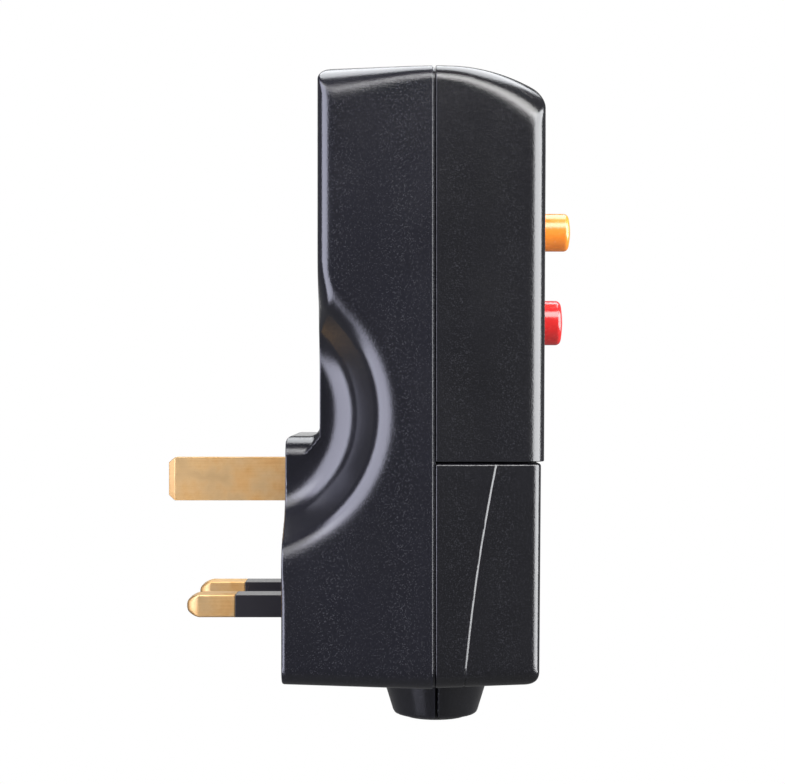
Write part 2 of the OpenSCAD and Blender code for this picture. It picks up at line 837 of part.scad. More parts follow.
module earth_pin() {
    color([0.78, 0.6, 0.34]) difference() {
        union() {
            translate([0, 0, earth_z])
                pin_blade(earth_len, base_t + join, earth_w, earth_h, earth_chamfer, earth_chamfer * 0.8);
            slab([base_t, base_t + flange_t],
                [-earth_w / 2 - earth_flange_over, earth_w / 2 + earth_flange_over],
                [earth_z - earth_flange_h / 2, earth_z + earth_h / 2]);
            slab([base_t + flange_t - join, earth_head_x], [-earth_head_w / 2, earth_head_w / 2],
                [earth_head_z - earth_head_h / 2, earth_head_z + earth_head_h / 2]);
        }
        translate([terminal_bore_x, 0, earth_head_z - earth_head_h])
            cylinder(h = 2 * earth_head_h, d = wire_hole_d);
        rod(terminal_bore_x, earth_head_x + cut, 0, earth_head_z, terminal_screw_r + fit_gap);
    }
}

module line_pin() {
    color([0.78, 0.6, 0.34]) translate([0, pin_pitch / 2, 0]) {
        difference() {
            pin_blade(pin_len, base_t + join, pin_w, pin_h, pin_chamfer, pin_nose);
            difference() {
                slab([-sleeve_len, 0], [-pin_w, pin_w], [-pin_h, pin_h]);
                slab([-sleeve_len - cut, cut], [sleeve_t - pin_w / 2, pin_w / 2 - sleeve_t],
                    [sleeve_t - pin_h / 2, pin_h / 2 - sleeve_t]);
            }
        }
        slab([base_t, base_t + flange_t], [-flange_w / 2, flange_w / 2], [-flange_h / 2, flange_h / 2]);
        slab([base_t + flange_t - join, deck_x], [-tail_w / 2, tail_w / 2], [-pin_h / 2, pin_h / 2]);
    }
}

module live_pin() {
    line_pin();
}

module neutral_pin() {
    mirror([0, 1, 0]) line_pin();
}

module pin_sleeve() {
    color([0.04, 0.04, 0.045]) translate([0, pin_pitch / 2, 0]) difference() {
        slab([-sleeve_len, 0], [-pin_w / 2, pin_w / 2], [-pin_h / 2, pin_h / 2]);
        slab([-sleeve_len - cut, cut], [sleeve_t - pin_w / 2, pin_w / 2 - sleeve_t],
            [sleeve_t - pin_h / 2, pin_h / 2 - sleeve_t]);
    }
}

module live_pin_sleeve() {
    pin_sleeve();
}

module neutral_pin_sleeve() {
    mirror([0, 1, 0]) pin_sleeve();
}

// Insulating tray that holds the pins' flanges down and carries the terminals
module pin_retainer() {
    plate_x = deck_x - tray_t;
    pin_y = pin_pitch / 2;
    color([0.85, 0.84, 0.8]) difference() {
        union() {
            slab([plate_x, deck_x], [loose_gap - inner_w, inner_w - loose_gap],
                [room_foot_z + bush_flange_t + 2 * loose_gap, scoop_low_z - loose_gap]);
            slab([plate_x, deck_x], [loose_gap - waist_w, waist_w - loose_gap],
                [scoop_low_z - cut, rib_z - loose_gap]);
            both_sides() slab([base_t + flange_t + fit_gap, plate_x + join],
                [pin_y - flange_w / 2 + tray_rim, pin_y + flange_w / 2],
                [-flange_h / 2, flange_h / 2 + tray_rim]);
        }
        both_sides() {
            slab([base_t, deck_x + cut], [pin_y - tail_w / 2 - fit_gap, pin_y + tail_w / 2 + fit_gap],
                [-pin_h / 2 - fit_gap, pin_h / 2 + fit_gap]);
            rod(plate_x - cut, deck_x + cut, grip_screw_y, grip_z, grip_pillar_r + loose_gap);
        }
        slab([plate_x - cut, deck_x + cut], [-earth_head_w / 2 - fit_gap, earth_head_w / 2 + fit_gap],
            [earth_head_z - earth_head_h / 2 - fit_gap, earth_head_z + earth_head_h / 2 + fit_gap]);
        rod(plate_x - cut, deck_x + cut, 0, cover_screw_z, pillar_r + loose_gap);
        slab([plate_x - cut, deck_x + cut], [-saddle_w / 2 - loose_gap, saddle_w / 2 + loose_gap],
            [room_foot_z, grip_z + saddle_l / 2 + loose_gap]);
    }
}

// Fasteners

module upper_case_screws() {
    color("silver") both_sides()
        slotted_screw(rear_step + upper_head_depth, upper_screw_y, upper_screw_z, screw_r, upper_shank_len,
            head_r, head_t, 1);
}

module lower_case_screws() {
    color("silver") both_sides()
        slotted_screw(flange_plate_x, lower_screw_y, lower_screw_z, screw_r, lower_shank_len,
            head_r, head_t, -1);
}

module cover_screw() {
    color("silver")
        slotted_screw(cover_head_x, 0, cover_screw_z, screw_r, cover_shank_len, head_r, head_t, -1);
}

module cord_grip() {
    bar_l = grip_screw_y + grip_pillar_r;
    color([0.8, 0.79, 0.75]) difference() {
        slab([grip_x, grip_x + grip_t], [-bar_l, bar_l], [grip_z - grip_w / 2, grip_z + grip_w / 2]);
        translate([outlet_x, 0, grip_z - grip_w]) cylinder(h = 2 * grip_w, r = bush_bore_d / 2 + saddle_gap);
        both_sides() rod(grip_x - cut, grip_x + grip_t + cut, grip_screw_y, grip_z, screw_bore_r);
    }
}

module cord_grip_screws() {
    color("silver") both_sides()
        slotted_screw(grip_x + grip_t, grip_screw_y, grip_z, screw_r, lower_shank_len, grip_head_r,
            head_t, -1);
}

// Fuse and live feed

module fuse_tube() {
    color([0.93, 0.92, 0.88]) translate([fuse_x, fuse_y, fuse_z - fuse_len / 2 + clip_t]) difference() {
        cylinder(h = fuse_len - 2 * clip_t, r = fuse_r - cap_t);
        translate([0, 0, -cut]) cylinder(h = fuse_len, r = fuse_r - cap_t - tube_t);
    }
}

module fuse_caps() {
    color([0.75, 0.74, 0.7]) for (end = [0, 1])
        translate([fuse_x, fuse_y, fuse_z]) mirror([0, 0, end]) translate([0, 0, fuse_len / 2 - cap_len])
            difference() {
                cylinder(h = cap_len, r = fuse_r);
                translate([0, 0, -cut]) cylinder(h = cap_len + cut - clip_t, r = fuse_r - cap_t);
            }
}

// Spring clip around a fuse cap, with its base strip, at height z
module fuse_clip(z) {
    inner = fuse_r + clip_gap;
    translate([fuse_x, fuse_y, z]) rotate([0, 0, clip_open / 2])
        rotate_extrude(angle = 360 - clip_open) translate([inner, 0]) square([clip_t, clip_w]);
    slab([deck_x, strip_x], [fuse_y - clip_base_w / 2, fuse_y + clip_base_w / 2], [z, z + clip_w]);
}

low_clip_z = fuse_z - fuse_len / 2 + clip_inset;
high_clip_z = fuse_z + fuse_len / 2 - clip_inset - clip_w;

module live_pin_link() {
    color([0.8, 0.55, 0.3]) {
        fuse_clip(low_clip_z);
        slab([deck_x, strip_x], [pin_pitch / 2 - tail_w / 2, fuse_y], [-pin_h / 2, pin_h / 2]);
        slab([deck_x, strip_x], [fuse_y - clip_base_w / 2, fuse_y], [low_clip_z + clip_w - join, pin_h / 2]);
    }
}

// Strip from the deck up over the contact block to the input contact on the +Y side
module feed_strip(low_z) {
    riser_z = block_low_z - strip_gap;
    outer_y = contact_y + feed_outset;
    slab([deck_x, strip_x], [feed_y - strip_w / 2, feed_y + strip_w / 2], [low_z, riser_z]);
    slab([deck_x, block_x + strip_t], [feed_y - strip_w / 2, outer_y], [riser_z - strip_t, riser_z]);
    slab([block_x, block_x + strip_t], [outer_y - feed_arm_w, outer_y],
        [riser_z - strip_t, reset_z + contact_z + contact_pad]);
    slab([block_x, block_x + strip_t], [contact_y - contact_pad, outer_y],
        [reset_z + contact_z - contact_pad, reset_z + contact_z + contact_pad]);
}

module live_feed_link() {
    color([0.8, 0.55, 0.3]) {
        fuse_clip(high_clip_z);
        slab([deck_x, strip_x], [feed_y - strip_w / 2, fuse_y], [high_clip_z, high_clip_z + strip_w]);
        feed_strip(high_clip_z);
    }
}

module neutral_feed_link() {
    color([0.8, 0.55, 0.3]) mirror([0, 1, 0]) {
        slab([deck_x, strip_x], [pin_pitch / 2 - tail_w / 2, feed_y], [-pin_h / 2, pin_h / 2]);
        feed_strip(-pin_h / 2);
    }
}

// Output terminals

module output_terminal() {
    color([0.8, 0.65, 0.35]) difference() {
        slab([deck_x, terminal_x], [terminal_y - terminal_w / 2, terminal_y + terminal_w / 2],
            [terminal_z - terminal_h / 2, terminal_z + terminal_h / 2]);
        translate([terminal_bore_x, terminal_y, terminal_z - terminal_h])
            cylinder(h = 2 * terminal_h, d = wire_hole_d);
        rod(terminal_bore_x, terminal_x + cut, terminal_y, terminal_z, terminal_screw_r + fit_gap);
    }
}

module live_terminal() {
    output_terminal();
}

module neutral_terminal() {
    mirror([0, 1, 0]) output_terminal();
}

module terminal_screws() {
    color([0.7, 0.68, 0.62]) {
        both_sides() slotted_screw(terminal_x + loose_gap, terminal_y, terminal_z, terminal_screw_r,
            terminal_shank, terminal_head_r, terminal_head_t, -1);
        slotted_screw(earth_head_x + loose_gap, 0, earth_head_z, terminal_screw_r,
            terminal_shank, terminal_head_r, terminal_head_t, -1);
    }
}

module output_contact() {
    low_z = block_low_z + strip_gap;
    color([0.8, 0.55, 0.3]) {
        slab([block_x, block_x + strip_t], [contact_y - contact_pad, contact_y + contact_pad],
            [low_z, reset_z - contact_z + contact_pad]);
        slab([block_x, block_x + strip_t], [contact_y - contact_tab, contact_y], [low_z, low_z + strip_w]);
    }
}

module live_output_contact() {
    output_contact();
}

module neutral_output_contact() {
    mirror([0, 1, 0]) output_contact();
}

// Wire from an output contact through the sensing transformer to its terminal
module output_wire() {
    tab_x = block_x + strip_t + wire_r;
    tab_z = block_low_z + strip_gap + strip_w / 2;
    wire(eased([
        [tab_x, contact_y - contact_tab + contact_pad, tab_z],
        [tab_x + wire_lift, contact_y - wire_lead, tab_z - wire_drop],
        [sense_x, wire_y, tab_z - wire_dive],
        [sense_x, wire_y, rib_z + wire_exit],
        [terminal_bore_x + terminal_bend, terminal_y - wire_bend, rib_z - wire_bend],
        [terminal_bore_x, terminal_y, terminal_z + terminal_h / 2 + wire_dive],
        [terminal_bore_x, terminal_y, terminal_z + terminal_screw_r + wire_tip_gap]
    ]), wire_r);
}

module live_output_wire() {
    color([0.4, 0.22, 0.1]) output_wire();
}

module neutral_output_wire() {
    color([0.15, 0.3, 0.6]) mirror([0, 1, 0]) output_wire();
}

// Contact block and holding magnet

module contact_block() {
    color([0.8, 0.79, 0.75]) {
        difference() {
            slab([deck_x, block_x], [-block_w, block_w], [block_low_z, block_high_z]);
            slab([deck_x - cut, block_x + cut], [-armature_w - window_gap, armature_w + window_gap],
                [reset_z - armature_h - window_gap, reset_z + armature_h + window_gap]);
        }
        both_sides() rod(block_x - join, post_end_x, post_y, reset_z, post_r);
    }
}

module fixed_contact_tips() {
    color([0.85, 0.85, 0.83]) both_sides() for (dz = [-contact_z, contact_z])
        rod(block_x + strip_t, fixed_tip_x, contact_y, reset_z + dz, contact_r);
}

module magnet_yoke() {
    reach = yoke_leg_z + yoke_t;
    color([0.6, 0.6, 0.6]) {
        slab([yoke_back_x, yoke_back_x + yoke_t], [-armature_w, armature_w],
            [reset_z - reach, reset_z + reach]);
        for (side = [-1, 1])
            translate([0, 0, reset_z + side * (yoke_leg_z + yoke_t / 2)])
                slab([yoke_back_x, pole_x], [-armature_w, armature_w], [-yoke_t / 2, yoke_t / 2]);
        rod(yoke_back_x + yoke_t - join, pole_x, 0, reset_z, core_r);
    }
}

module coil_bobbin() {
    x0 = yoke_back_x + yoke_t + fit_gap;
    x1 = deck_x - loose_gap;
    color([0.85, 0.8, 0.6]) difference() {
        union() {
            rod(x0, x0 + bobbin_t, 0, reset_z, bobbin_r);
            rod(x1 - bobbin_t, x1, 0, reset_z, bobbin_r);
            rod(x0, x1, 0, reset_z, core_r + fit_gap + bobbin_t);
        }
        rod(x0 - cut, x1 + cut, 0, reset_z, core_r + fit_gap);
    }
}

module coil_winding() {
    x0 = yoke_back_x + yoke_t + fit_gap + bobbin_t + fit_gap;
    x1 = deck_x - loose_gap - bobbin_t - fit_gap;
    color([0.65, 0.3, 0.12]) difference() {
        rod(x0, x1, 0, reset_z, winding_r);
        rod(x0 - cut, x1 + cut, 0, reset_z, core_r + bobbin_t + 2 * fit_gap);
    }
}

// Contact carrier and what rides on it

module contact_carrier() {
    color([0.15, 0.15, 0.16]) difference() {
        union() {
            slab([carrier_x, carrier_front_x], [-carrier_w, carrier_w],
                [reset_z - carrier_h / 2, reset_z + carrier_h / 2]);
            slab([armature_x + armature_t, carrier_x + join], [-hub_w, hub_w],
                [reset_z - hub_h, reset_z + hub_h]);
            both_sides() rod(carrier_x, spring_pocket_x + guide_len, post_y, reset_z, guide_r);
        }
        both_sides() {
            rod(carrier_x - cut, spring_pocket_x, post_y, reset_z, spring_pocket_r);
            rod(carrier_x - cut, post_end_x + cut, post_y, reset_z, post_r + slide_gap);
        }
    }
}

module armature() {
    color([0.55, 0.55, 0.56]) slab([armature_x, armature_x + armature_t], [-armature_w, armature_w],
        [reset_z - armature_h, reset_z + armature_h]);
}

module contact_bridges() {
    color([0.8, 0.55, 0.3]) both_sides()
        slab([bridge_x, carrier_x], [contact_y - bridge_w / 2, contact_y + bridge_w / 2],
            [reset_z - bridge_h / 2, reset_z + bridge_h / 2]);
}

module bridge_contact_tips() {
    color([0.85, 0.85, 0.83]) both_sides() for (dz = [-contact_z, contact_z])
        rod(bridge_x - moving_tip_t, bridge_x, contact_y, reset_z + dz, contact_r);
}

module opening_springs() {
    color([0.7, 0.7, 0.72]) both_sides()
        coil_spring(block_x + fit_gap, spring_pocket_x - fit_gap, post_y, reset_z, spring_r,
            spring_wire, spring_turns);
}

// Buttons

// Round button with collar and stem, its front at x and its stem ending at stem_x
module push_button(z, d, x, stem_x) {
    r = d / 2;
    crown = 0.35;
    edge = [for (a = [0 : 18 : 90]) [r - button_edge_r + button_edge_r * cos(a),
        x - crown - button_edge_r + button_edge_r * sin(a)]];
    translate([0, 0, z]) rotate([0, 90, 0]) rotate_extrude() polygon(concat(
        [[0, stem_x], [stem_r, stem_x], [stem_r, collar_x], [r + collar_over, collar_x],
            [r + collar_over, collar_x + collar_t], [r, collar_x + collar_t]],
        edge,
        [[(r - button_edge_r) / 2, x - crown / 4], [0, x]]
    ));
}

module reset_button() {
    color([0.8, 0.08, 0.08]) push_button(reset_z, reset_d, front_x + reset_out, carrier_front_x + fit_gap);
}

module test_button() {
    color([0.95, 0.5, 0.08]) push_button(test_z, test_d, front_x + test_out, leaf_x + leaf_t + fit_gap);
}

// Bent spring strip on the board under the test button's stem
module test_leaf() {
    z = [test_z - leaf_w / 2, test_z + leaf_w / 2];
    color([0.82, 0.66, 0.36]) {
        slab([board_x, board_x + leaf_t], [leaf_root_y - leaf_foot, leaf_root_y], z);
        slab([board_x, leaf_x + leaf_t], [leaf_root_y - leaf_t, leaf_root_y], z);
        slab([leaf_x, leaf_x + leaf_t], [leaf_root_y - leaf_t, leaf_tip_y], z);
    }
}

module test_post() {
    color([0.82, 0.66, 0.36])
        rod(board_x, leaf_x - test_travel - test_stop_gap, test_post_y, test_z, test_post_r);
}

// Sensing transformer

module sense_core() {
    color([0.2, 0.2, 0.21]) translate([sense_x, 0, sense_z]) difference() {
        cylinder(h = core_h, r = core_out_r);
        translate([0, 0, -cut]) cylinder(h = core_h + 2 * cut, r = core_in_r);
    }
}

// Winding over most of the ring, open towards the front
module sense_winding() {
    inner = core_in_r - coil_t - fit_gap;
    outer = core_out_r + coil_t + fit_gap;
    color([0.65, 0.3, 0.12]) translate([sense_x, 0, sense_z]) rotate([0, 0, (360 - coil_arc) / 2])
        rotate_extrude(angle = coil_arc) difference() {
            translate([inner, -coil_t]) square([outer - inner, core_h + 2 * coil_t]);
            translate([core_in_r - fit_gap, -fit_gap])
                square([core_out_r - core_in_r + 2 * fit_gap, core_h + 2 * fit_gap]);
        }
}

// Electronics

module circuit_board() {
    color([0.1, 0.35, 0.15]) difference() {
        slab([deck_x, board_x], [-board_w, board_w], [board_low_z, board_high_z]);
        both_sides() rod(deck_x - cut, board_x + cut, upper_screw_y, upper_screw_z, pillar_r + loose_gap);
    }
}

module control_chip() {
    color([0.08, 0.08, 0.08]) slab([board_x, board_x + chip_t], [chip_y - chip_w / 2, chip_y + chip_w / 2],
        [parts_z - chip_l / 2, parts_z + chip_l / 2]);
}

module smoothing_capacitor() {
    color([0.15, 0.2, 0.4]) rod(board_x, board_x + can_h, can_y, parts_z, can_r);
}

module film_capacitor() {
    color([0.75, 0.6, 0.15]) slab([board_x, board_x + film_h], [-film_w / 2, film_w / 2],
        [board_high_z - board_gap - film_t, board_high_z - board_gap]);
}

// Disc on edge with its leads in one tab
module surge_varistor() {
    color([0.2, 0.35, 0.6]) translate([board_x + varistor_r, varistor_y, parts_z - varistor_r]) {
        rotate([90, 0, 0]) cylinder(h = varistor_t, r = varistor_r, center = true);
        slab([-varistor_r, 0], [-lead_t / 2, lead_t / 2], [-lead_w / 2, lead_w / 2]);
    }
}

// Cylindrical part lying across the board
module lying_part(y, z, r, l) {
    translate([board_x + r, y, z]) rotate([90, 0, 0]) cylinder(h = l, r = r, center = true);
}

module resistors() {
    color([0.75, 0.65, 0.5]) for (i = [-1 : 1])
        lying_part(-resistor_pitch, parts_z + i * resistor_pitch, resistor_r, resistor_l);
}

module diodes() {
    color([0.1, 0.1, 0.1]) for (column = [0, 1]) for (row = [0, 1])
        lying_part(diode_y + column * diode_row, board_low_z + diode_r + board_gap + row * diode_pitch,
            diode_r, diode_l);
}

module thyristor() {
    color([0.1, 0.1, 0.1]) translate([board_x, thyristor_y, board_low_z + thyristor_r + board_gap])
        rotate([0, 90, 0]) intersection() {
            cylinder(h = thyristor_h, r = thyristor_r);
            translate([-thyristor_r, -thyristor_flat, 0])
                cube([2 * thyristor_r, 2 * thyristor_r, thyristor_h]);
        }
}

rear_housing();
front_housing();
wiring_cover();
cable_bush();
earth_pin();
live_pin();
neutral_pin();
live_pin_sleeve();
neutral_pin_sleeve();
pin_retainer();
upper_case_screws();
lower_case_screws();
cover_screw();
cord_grip();
cord_grip_screws();
fuse_tube();
fuse_caps();
live_pin_link();
live_feed_link();
neutral_feed_link();
live_terminal();
neutral_terminal();
terminal_screws();
live_output_contact();
neutral_output_contact();
live_output_wire();
neutral_output_wire();
contact_block();
fixed_contact_tips();
magnet_yoke();
coil_bobbin();
coil_winding();
contact_carrier();
armature();
contact_bridges();
bridge_contact_tips();
opening_springs();
reset_button();
test_button();
test_leaf();
test_post();
sense_core();
sense_winding();
circuit_board();
control_chip();
smoothing_capacitor();
film_capacitor();
surge_varistor();
resistors();
diodes();
thyristor();
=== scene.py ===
"""Looks of a black plug with a built-in residual current switch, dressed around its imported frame."""
import json
import math
from functools import reduce

import bmesh
import bpy
import numpy as np
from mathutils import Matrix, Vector


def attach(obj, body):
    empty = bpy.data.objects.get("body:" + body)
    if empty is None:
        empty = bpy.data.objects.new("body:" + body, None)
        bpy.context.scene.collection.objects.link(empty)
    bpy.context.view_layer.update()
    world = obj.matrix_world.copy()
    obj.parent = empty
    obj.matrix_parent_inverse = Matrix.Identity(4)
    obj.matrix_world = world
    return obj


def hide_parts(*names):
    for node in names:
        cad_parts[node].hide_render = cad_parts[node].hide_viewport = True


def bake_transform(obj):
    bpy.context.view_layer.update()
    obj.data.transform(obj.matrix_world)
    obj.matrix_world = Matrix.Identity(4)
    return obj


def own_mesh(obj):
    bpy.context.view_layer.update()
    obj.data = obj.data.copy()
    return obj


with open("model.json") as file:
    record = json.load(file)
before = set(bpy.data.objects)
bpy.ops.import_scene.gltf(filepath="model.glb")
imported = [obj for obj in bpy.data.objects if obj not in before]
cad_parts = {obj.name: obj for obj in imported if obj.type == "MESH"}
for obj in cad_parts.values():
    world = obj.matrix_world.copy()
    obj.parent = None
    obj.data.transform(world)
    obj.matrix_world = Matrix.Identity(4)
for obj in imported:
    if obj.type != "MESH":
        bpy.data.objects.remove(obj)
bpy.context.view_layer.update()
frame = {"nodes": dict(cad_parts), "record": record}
nodes = frame["nodes"]

MM = 0.001

# Case, in millimetres in the part's frame
HALF_WIDTH = 31.1
CASE_FOOT = -12.8
END_TAPER = 0.8
PARTING_X = 26.2
REAR_END_X = 25.88
FRONT_START_X = 26.4
UPPER_REAR_X = 6.1
LEDGE_Z = 30.6
FRONT_X = 45.35
COVER_X = 44.42
SEAM_Z = 26.3
SEAM_FRONT_Z = 26.5
SEAM_COVER_Z = 26.22
FRONT_DEPTH = 19.0
WALL = 2.2
INNER_WIDTH = 28.8
FRONT_INNER_X = 43.0
COVER_INNER_X = 42.2
ROOM_FOOT_Z = -9.8
ROOM_TOP_Z = 91.4
RIB_TOP_Z = 28.7
DECK_X = 21.8
BASE_X = 3.0
BACK_ROOM_X = 8.4
WAIST_WIDTH = 13.8
SCOOP_LOW_Z = 5.82
SCOOP_HIGH_Z = 60.6
BOARD_WIDTH = 24.0
SIDE_DRAFT = 0.4
REAR_TOP_Z = 94.5
CROWN_TOP_Z = 94.55
CROWN_START_X = 29.5
CROWN_R = 31.4
FACE_LEAN = 0.0055
FACE_LEAN_TOP_Z = 80.0
COVER_LEAN = 0.008
COVER_TAPER_X = 20.2
COVER_TAPER_RUN = 24.2
UPPER_OVERLAP = 12.0
ROOM_OVERLAP = 3.0

# Where cuts that run right through start and end, and how deep a fitting's root sits in its wall
CLEAR_BEHIND = -5.0
CLEAR_AHEAD = 60.0
CLEAR_BELOW = -40.0
CLEAR_MIDDLE = -1.0
INSIDE_X = 20.0
SINK = 1.0

# Edge radii, and how some of them grow or fade
UPPER_EDGE_R = 2.5
BLOCK_EDGE_R = 1.0
LEDGE_EDGE_R = 1.25
LEDGE_FILLET_R = 2.0
LEDGE_ROLL_R = 4.6
LEDGE_END_R = 0.4
LEDGE_SLANT = 0.8
LEDGE_SLANT_DROP = 8.0
FOOT_ROLL_R = 4.0
FOOT_CORNER_R = 0.5
COVER_EDGE_R = 1.8
PARTING_EDGE_R = 0.15
TOP_EDGE_R = 2.7
REAR_TOP_GROWTH = 0.24
CROWN_GROWTH = 0.3
SIDE_EDGE_R = 3.1
FRONT_EDGE_R = 3.35
SCOOP_EDGE_R = 0.2
SEAM_EDGE_R = 0.5
ROUNDING_REACH = 20.0
SIDE_EDGE_RISE = (47, 56)
BLOCK_EDGE_FADE = (2, 12)
ROOM_CORNER_R = 0.6
ROOM_EDGE_R = 0.3
HOLLOW_CORNER_R = 1.0
HOLLOW_FLOOR_R = 0.5
ROOT_R = 0.4
FITTING_ROOT_R = 0.3
FITTING_EDGE_R = 0.2
PILLAR_EDGE_R = 0.3
REAR_HOLE_EDGE_R = 0.15
FRONT_HOLE_EDGE_R = 0.2

# Shadow gap at the parting line, and the lips behind it and behind the cover's seam
GAP_DEPTH = 0.35
GAP_LAP = 0.1
GAP_ROOT_R = 0.05
LIP_Y = 28.65
LIP_T = 1.0
LIP_START_X = 24.6
LIP_END_X = 27.6
LIP_LOW_Z = -8.3
LIP_HIGH_Z = 91.25
LIP_BREAK_Z = (26.35, 28.85)
LIP_EDGE_R = 0.15
LIP_ROOT_R = 0.1
SEAM_LIP_X = (40.8, 41.8)
SEAM_LIP_Y = (27.4, 28.5)
SEAM_LIP_DROP = 1.4

# Finger scoops
SCOOP_DEPTH = 12.1
SCOOP_X = -6.6
SCOOP_Z = 34.5
SCOOP_R = 27.5
SCOOP_SLOPE = math.radians(62)
SCOOP_RIM_R = 6.0
SCOOP_FLOOR_R = 7.5
SCOOP_MOUTH_R = 5.0
SCOOP_MOUTH_RISE = 8.0
SCOOP_MOUTH_FADE = (2, 8)
SCOOP_STEPS = 240

# Cable outlet and cord grip
OUTLET_X = 27.0
OUTLET_END_Z = -21.5
OUTLET_END_R = 7.7
OUTLET_BASE_R = 10.4
OUTLET_EDGE_R = 0.6
OUTLET_GAP = 0.2
OUTLET_STEP = 0.4
OUTLET_STEP_EDGE_R = 0.15
BOSS_ROOT_R = 0.1
SEAT_LAP = 0.1
BUSH_SEAT_R = 5.95
BUSH_R = 5.9
BUSH_BORE_R = 4.5
BUSH_FLANGE_R = 7.2
BUSH_END_Z = -22.0
BUSH_BASE_Z = -9.75
BUSH_FLANGE_T = 1.5
GRIP_X = 31.5
GRIP_Y = 10.5
GRIP_Z = -6.0
GRIP_PILLAR_R = 2.9
GRIP_BORE_X = 19.5
SADDLE_HALF = 6.5
SADDLE_LENGTH = 3.0
SADDLE_DROP = 1.0

# Screws
SCREW_BORE_R = 1.55
HEAD_BORE_R = 3.0
PILLAR_R = 3.4
COVER_SCREW_Z = 5.5
COVER_BOSS_R = 4.4
COVER_BOSS_X = 31.55
COVER_HEAD_X = 41.0
COVER_BORE_X = 23.0
UPPER_SCREW_Y = 22.0
UPPER_SCREW_Z = 85.4
UPPER_HEAD_X = 10.2
UPPER_BORE_END_X = 39.0
UPPER_PILLAR_END_X = 43.5
LOWER_SCREW_Y = 22.5
LOWER_SCREW_Z = 23.0
LOWER_BORE_X = 15.4
LOWER_BORE_END_X = 32.0
EAR_X = 28.4
EAR_Y = (17.5, 27.5)
EAR_LOW_Z = 19.8
EAR_HIGH_Z = 27.0

# Notches for the feed strips and the output wires
NOTCH_Z = (25.5, 29.7)
FEED_NOTCH_Y = (15.2, 18.6)
WIRE_NOTCH_HALF = 5.4
WIRE_NOTCH_X = 37.0

# Pins and buttons
PIN_Y = 11.1
PIN_SLOT_W = 3.225
PIN_SLOT_H = 2.05
EARTH_Z = 22.23
EARTH_SLOT_W = 2.05
EARTH_SLOT_H = 4.05
RESET_Z = 51.3
RESET_R = 4.15
RESET_TIP_X = 50.7
TEST_Z = 68.2
TEST_R = 3.52
TEST_TIP_X = 52.2
BUTTON_GAP = 0.2
COLLAR_X = 41.4
COLLAR_T = 1.5
COLLAR_OVER = 1.4
STEM_R = 2.1
RESET_STEM_X = 33.5
TEST_STEM_X = 31.25
GUIDE_GAP = 0.2
GUIDE_WALL = 1.2
GUIDE_LENGTH = 5.0
PANEL_HALF = 7.5
PANEL_OVER = 2.0
PANEL_RECESS = 0.6
PANEL_FLOOR_R = 0.3
PANEL_EDGE_R = 0.4
BUTTONS = ((RESET_Z, RESET_R), (TEST_Z, TEST_R))

# Edges rounded on the pins and sleeves, and how a solid's facets are joined before that
PIN_EDGE = 0.25
PIN_NOSE_X = -14.0
PIN_NOSE_R = 0.7
SLEEVE_EDGE = 0.12
WELD_DISTANCE = 1e-7
FLAT_ANGLE = math.radians(0.5)
FACE_WEIGHT = 80

# Springs that give as the buttons are pressed
LEAF_ROOT_Y = -7.0
LEAF_TIP_Y = 2.5
LEAF_LENGTHS = 20

# Slanting line on the wiring cover
CREASE_FOOT_X = 31.0
CREASE_RUN = 5.6
CREASE_BOW = 2.4
CREASE_STEP = 0.2
CREASE_WIDTH = 0.3
CREASE_MIDDLE_X = 34.0
CREASE_SPAN = (-0.1, 1.1)

# Depth of the sandy skin: the share kept in rolls and scoops, and on the ends, and where the flats begin
SKIN_LEAST = 0.4
SKIN_ON_ENDS = 0.7
SKIN_SIDE_BAND = (28.0, 29.8)
SKIN_FACING = (0.78, 0.96)
SKIN_SIDEWAYS = 0.5

# Steps for a surface's slope and bend, the least square of the slope, and the passes that bring a point onto
# the surface with its longest move in one of them
SLOPE_STEP = 0.02
LEAST_SLOPE = 0.05
BEND_STEP = 0.5
SETTLING_PASSES = 2
LONGEST_MOVE = 0.5
TINY = 1e-6


# Distance fields: negative inside, in millimetres, with y the distance from the middle plane

def meet(a, b, r):
    """What is inside both, with the edge between them rounded."""
    corner = np.hypot(np.maximum(a + r, 0), np.maximum(b + r, 0))
    return np.minimum(np.maximum(a, b), -r) + corner


def inside_both(a, b, width=0.5):
    """What is inside both where they may run together, with the line between them softened."""
    near = np.maximum(1 - np.abs(a - b) / width, 0)
    return np.maximum(a, b) + width / 4 * near ** 2


def merge(a, b, r):
    """What is inside either, with the hollow between them filled to a radius."""
    return -meet(-a, -b, r)


def carve(a, b, r):
    """What is inside a and outside b, with the new edge rounded."""
    return meet(a, -b, r)


def any_of(shapes):
    """What is inside any of the shapes."""
    return reduce(np.minimum, shapes)


def astride(half):
    """Range of y for a piece that runs across the middle plane."""
    return (CLEAR_MIDDLE, half)


def between(v, low, high):
    return np.maximum(low - v, v - high)


def ease(v, low, high):
    t = np.clip((v - low) / (high - low), 0, 1)
    return t * t * (3 - 2 * t)


def slab(p, x, y, z, r=0.0):
    """Rounded block between pairs of coordinates."""
    return meet(meet(between(p[0], *x), between(p[1], *y), r), between(p[2], *z), r)


def rod(p, x, y, z, radius, r=0.0):
    """Round bar along X about the line at y, z."""
    return meet(np.hypot(p[1] - y, p[2] - z) - radius, between(p[0], *x), r)


def upright(p, x, radius, z, r=0.0):
    """Round bar along Z on the middle plane."""
    return meet(np.hypot(p[0] - x, p[1]) - radius, between(p[2], *z), r)


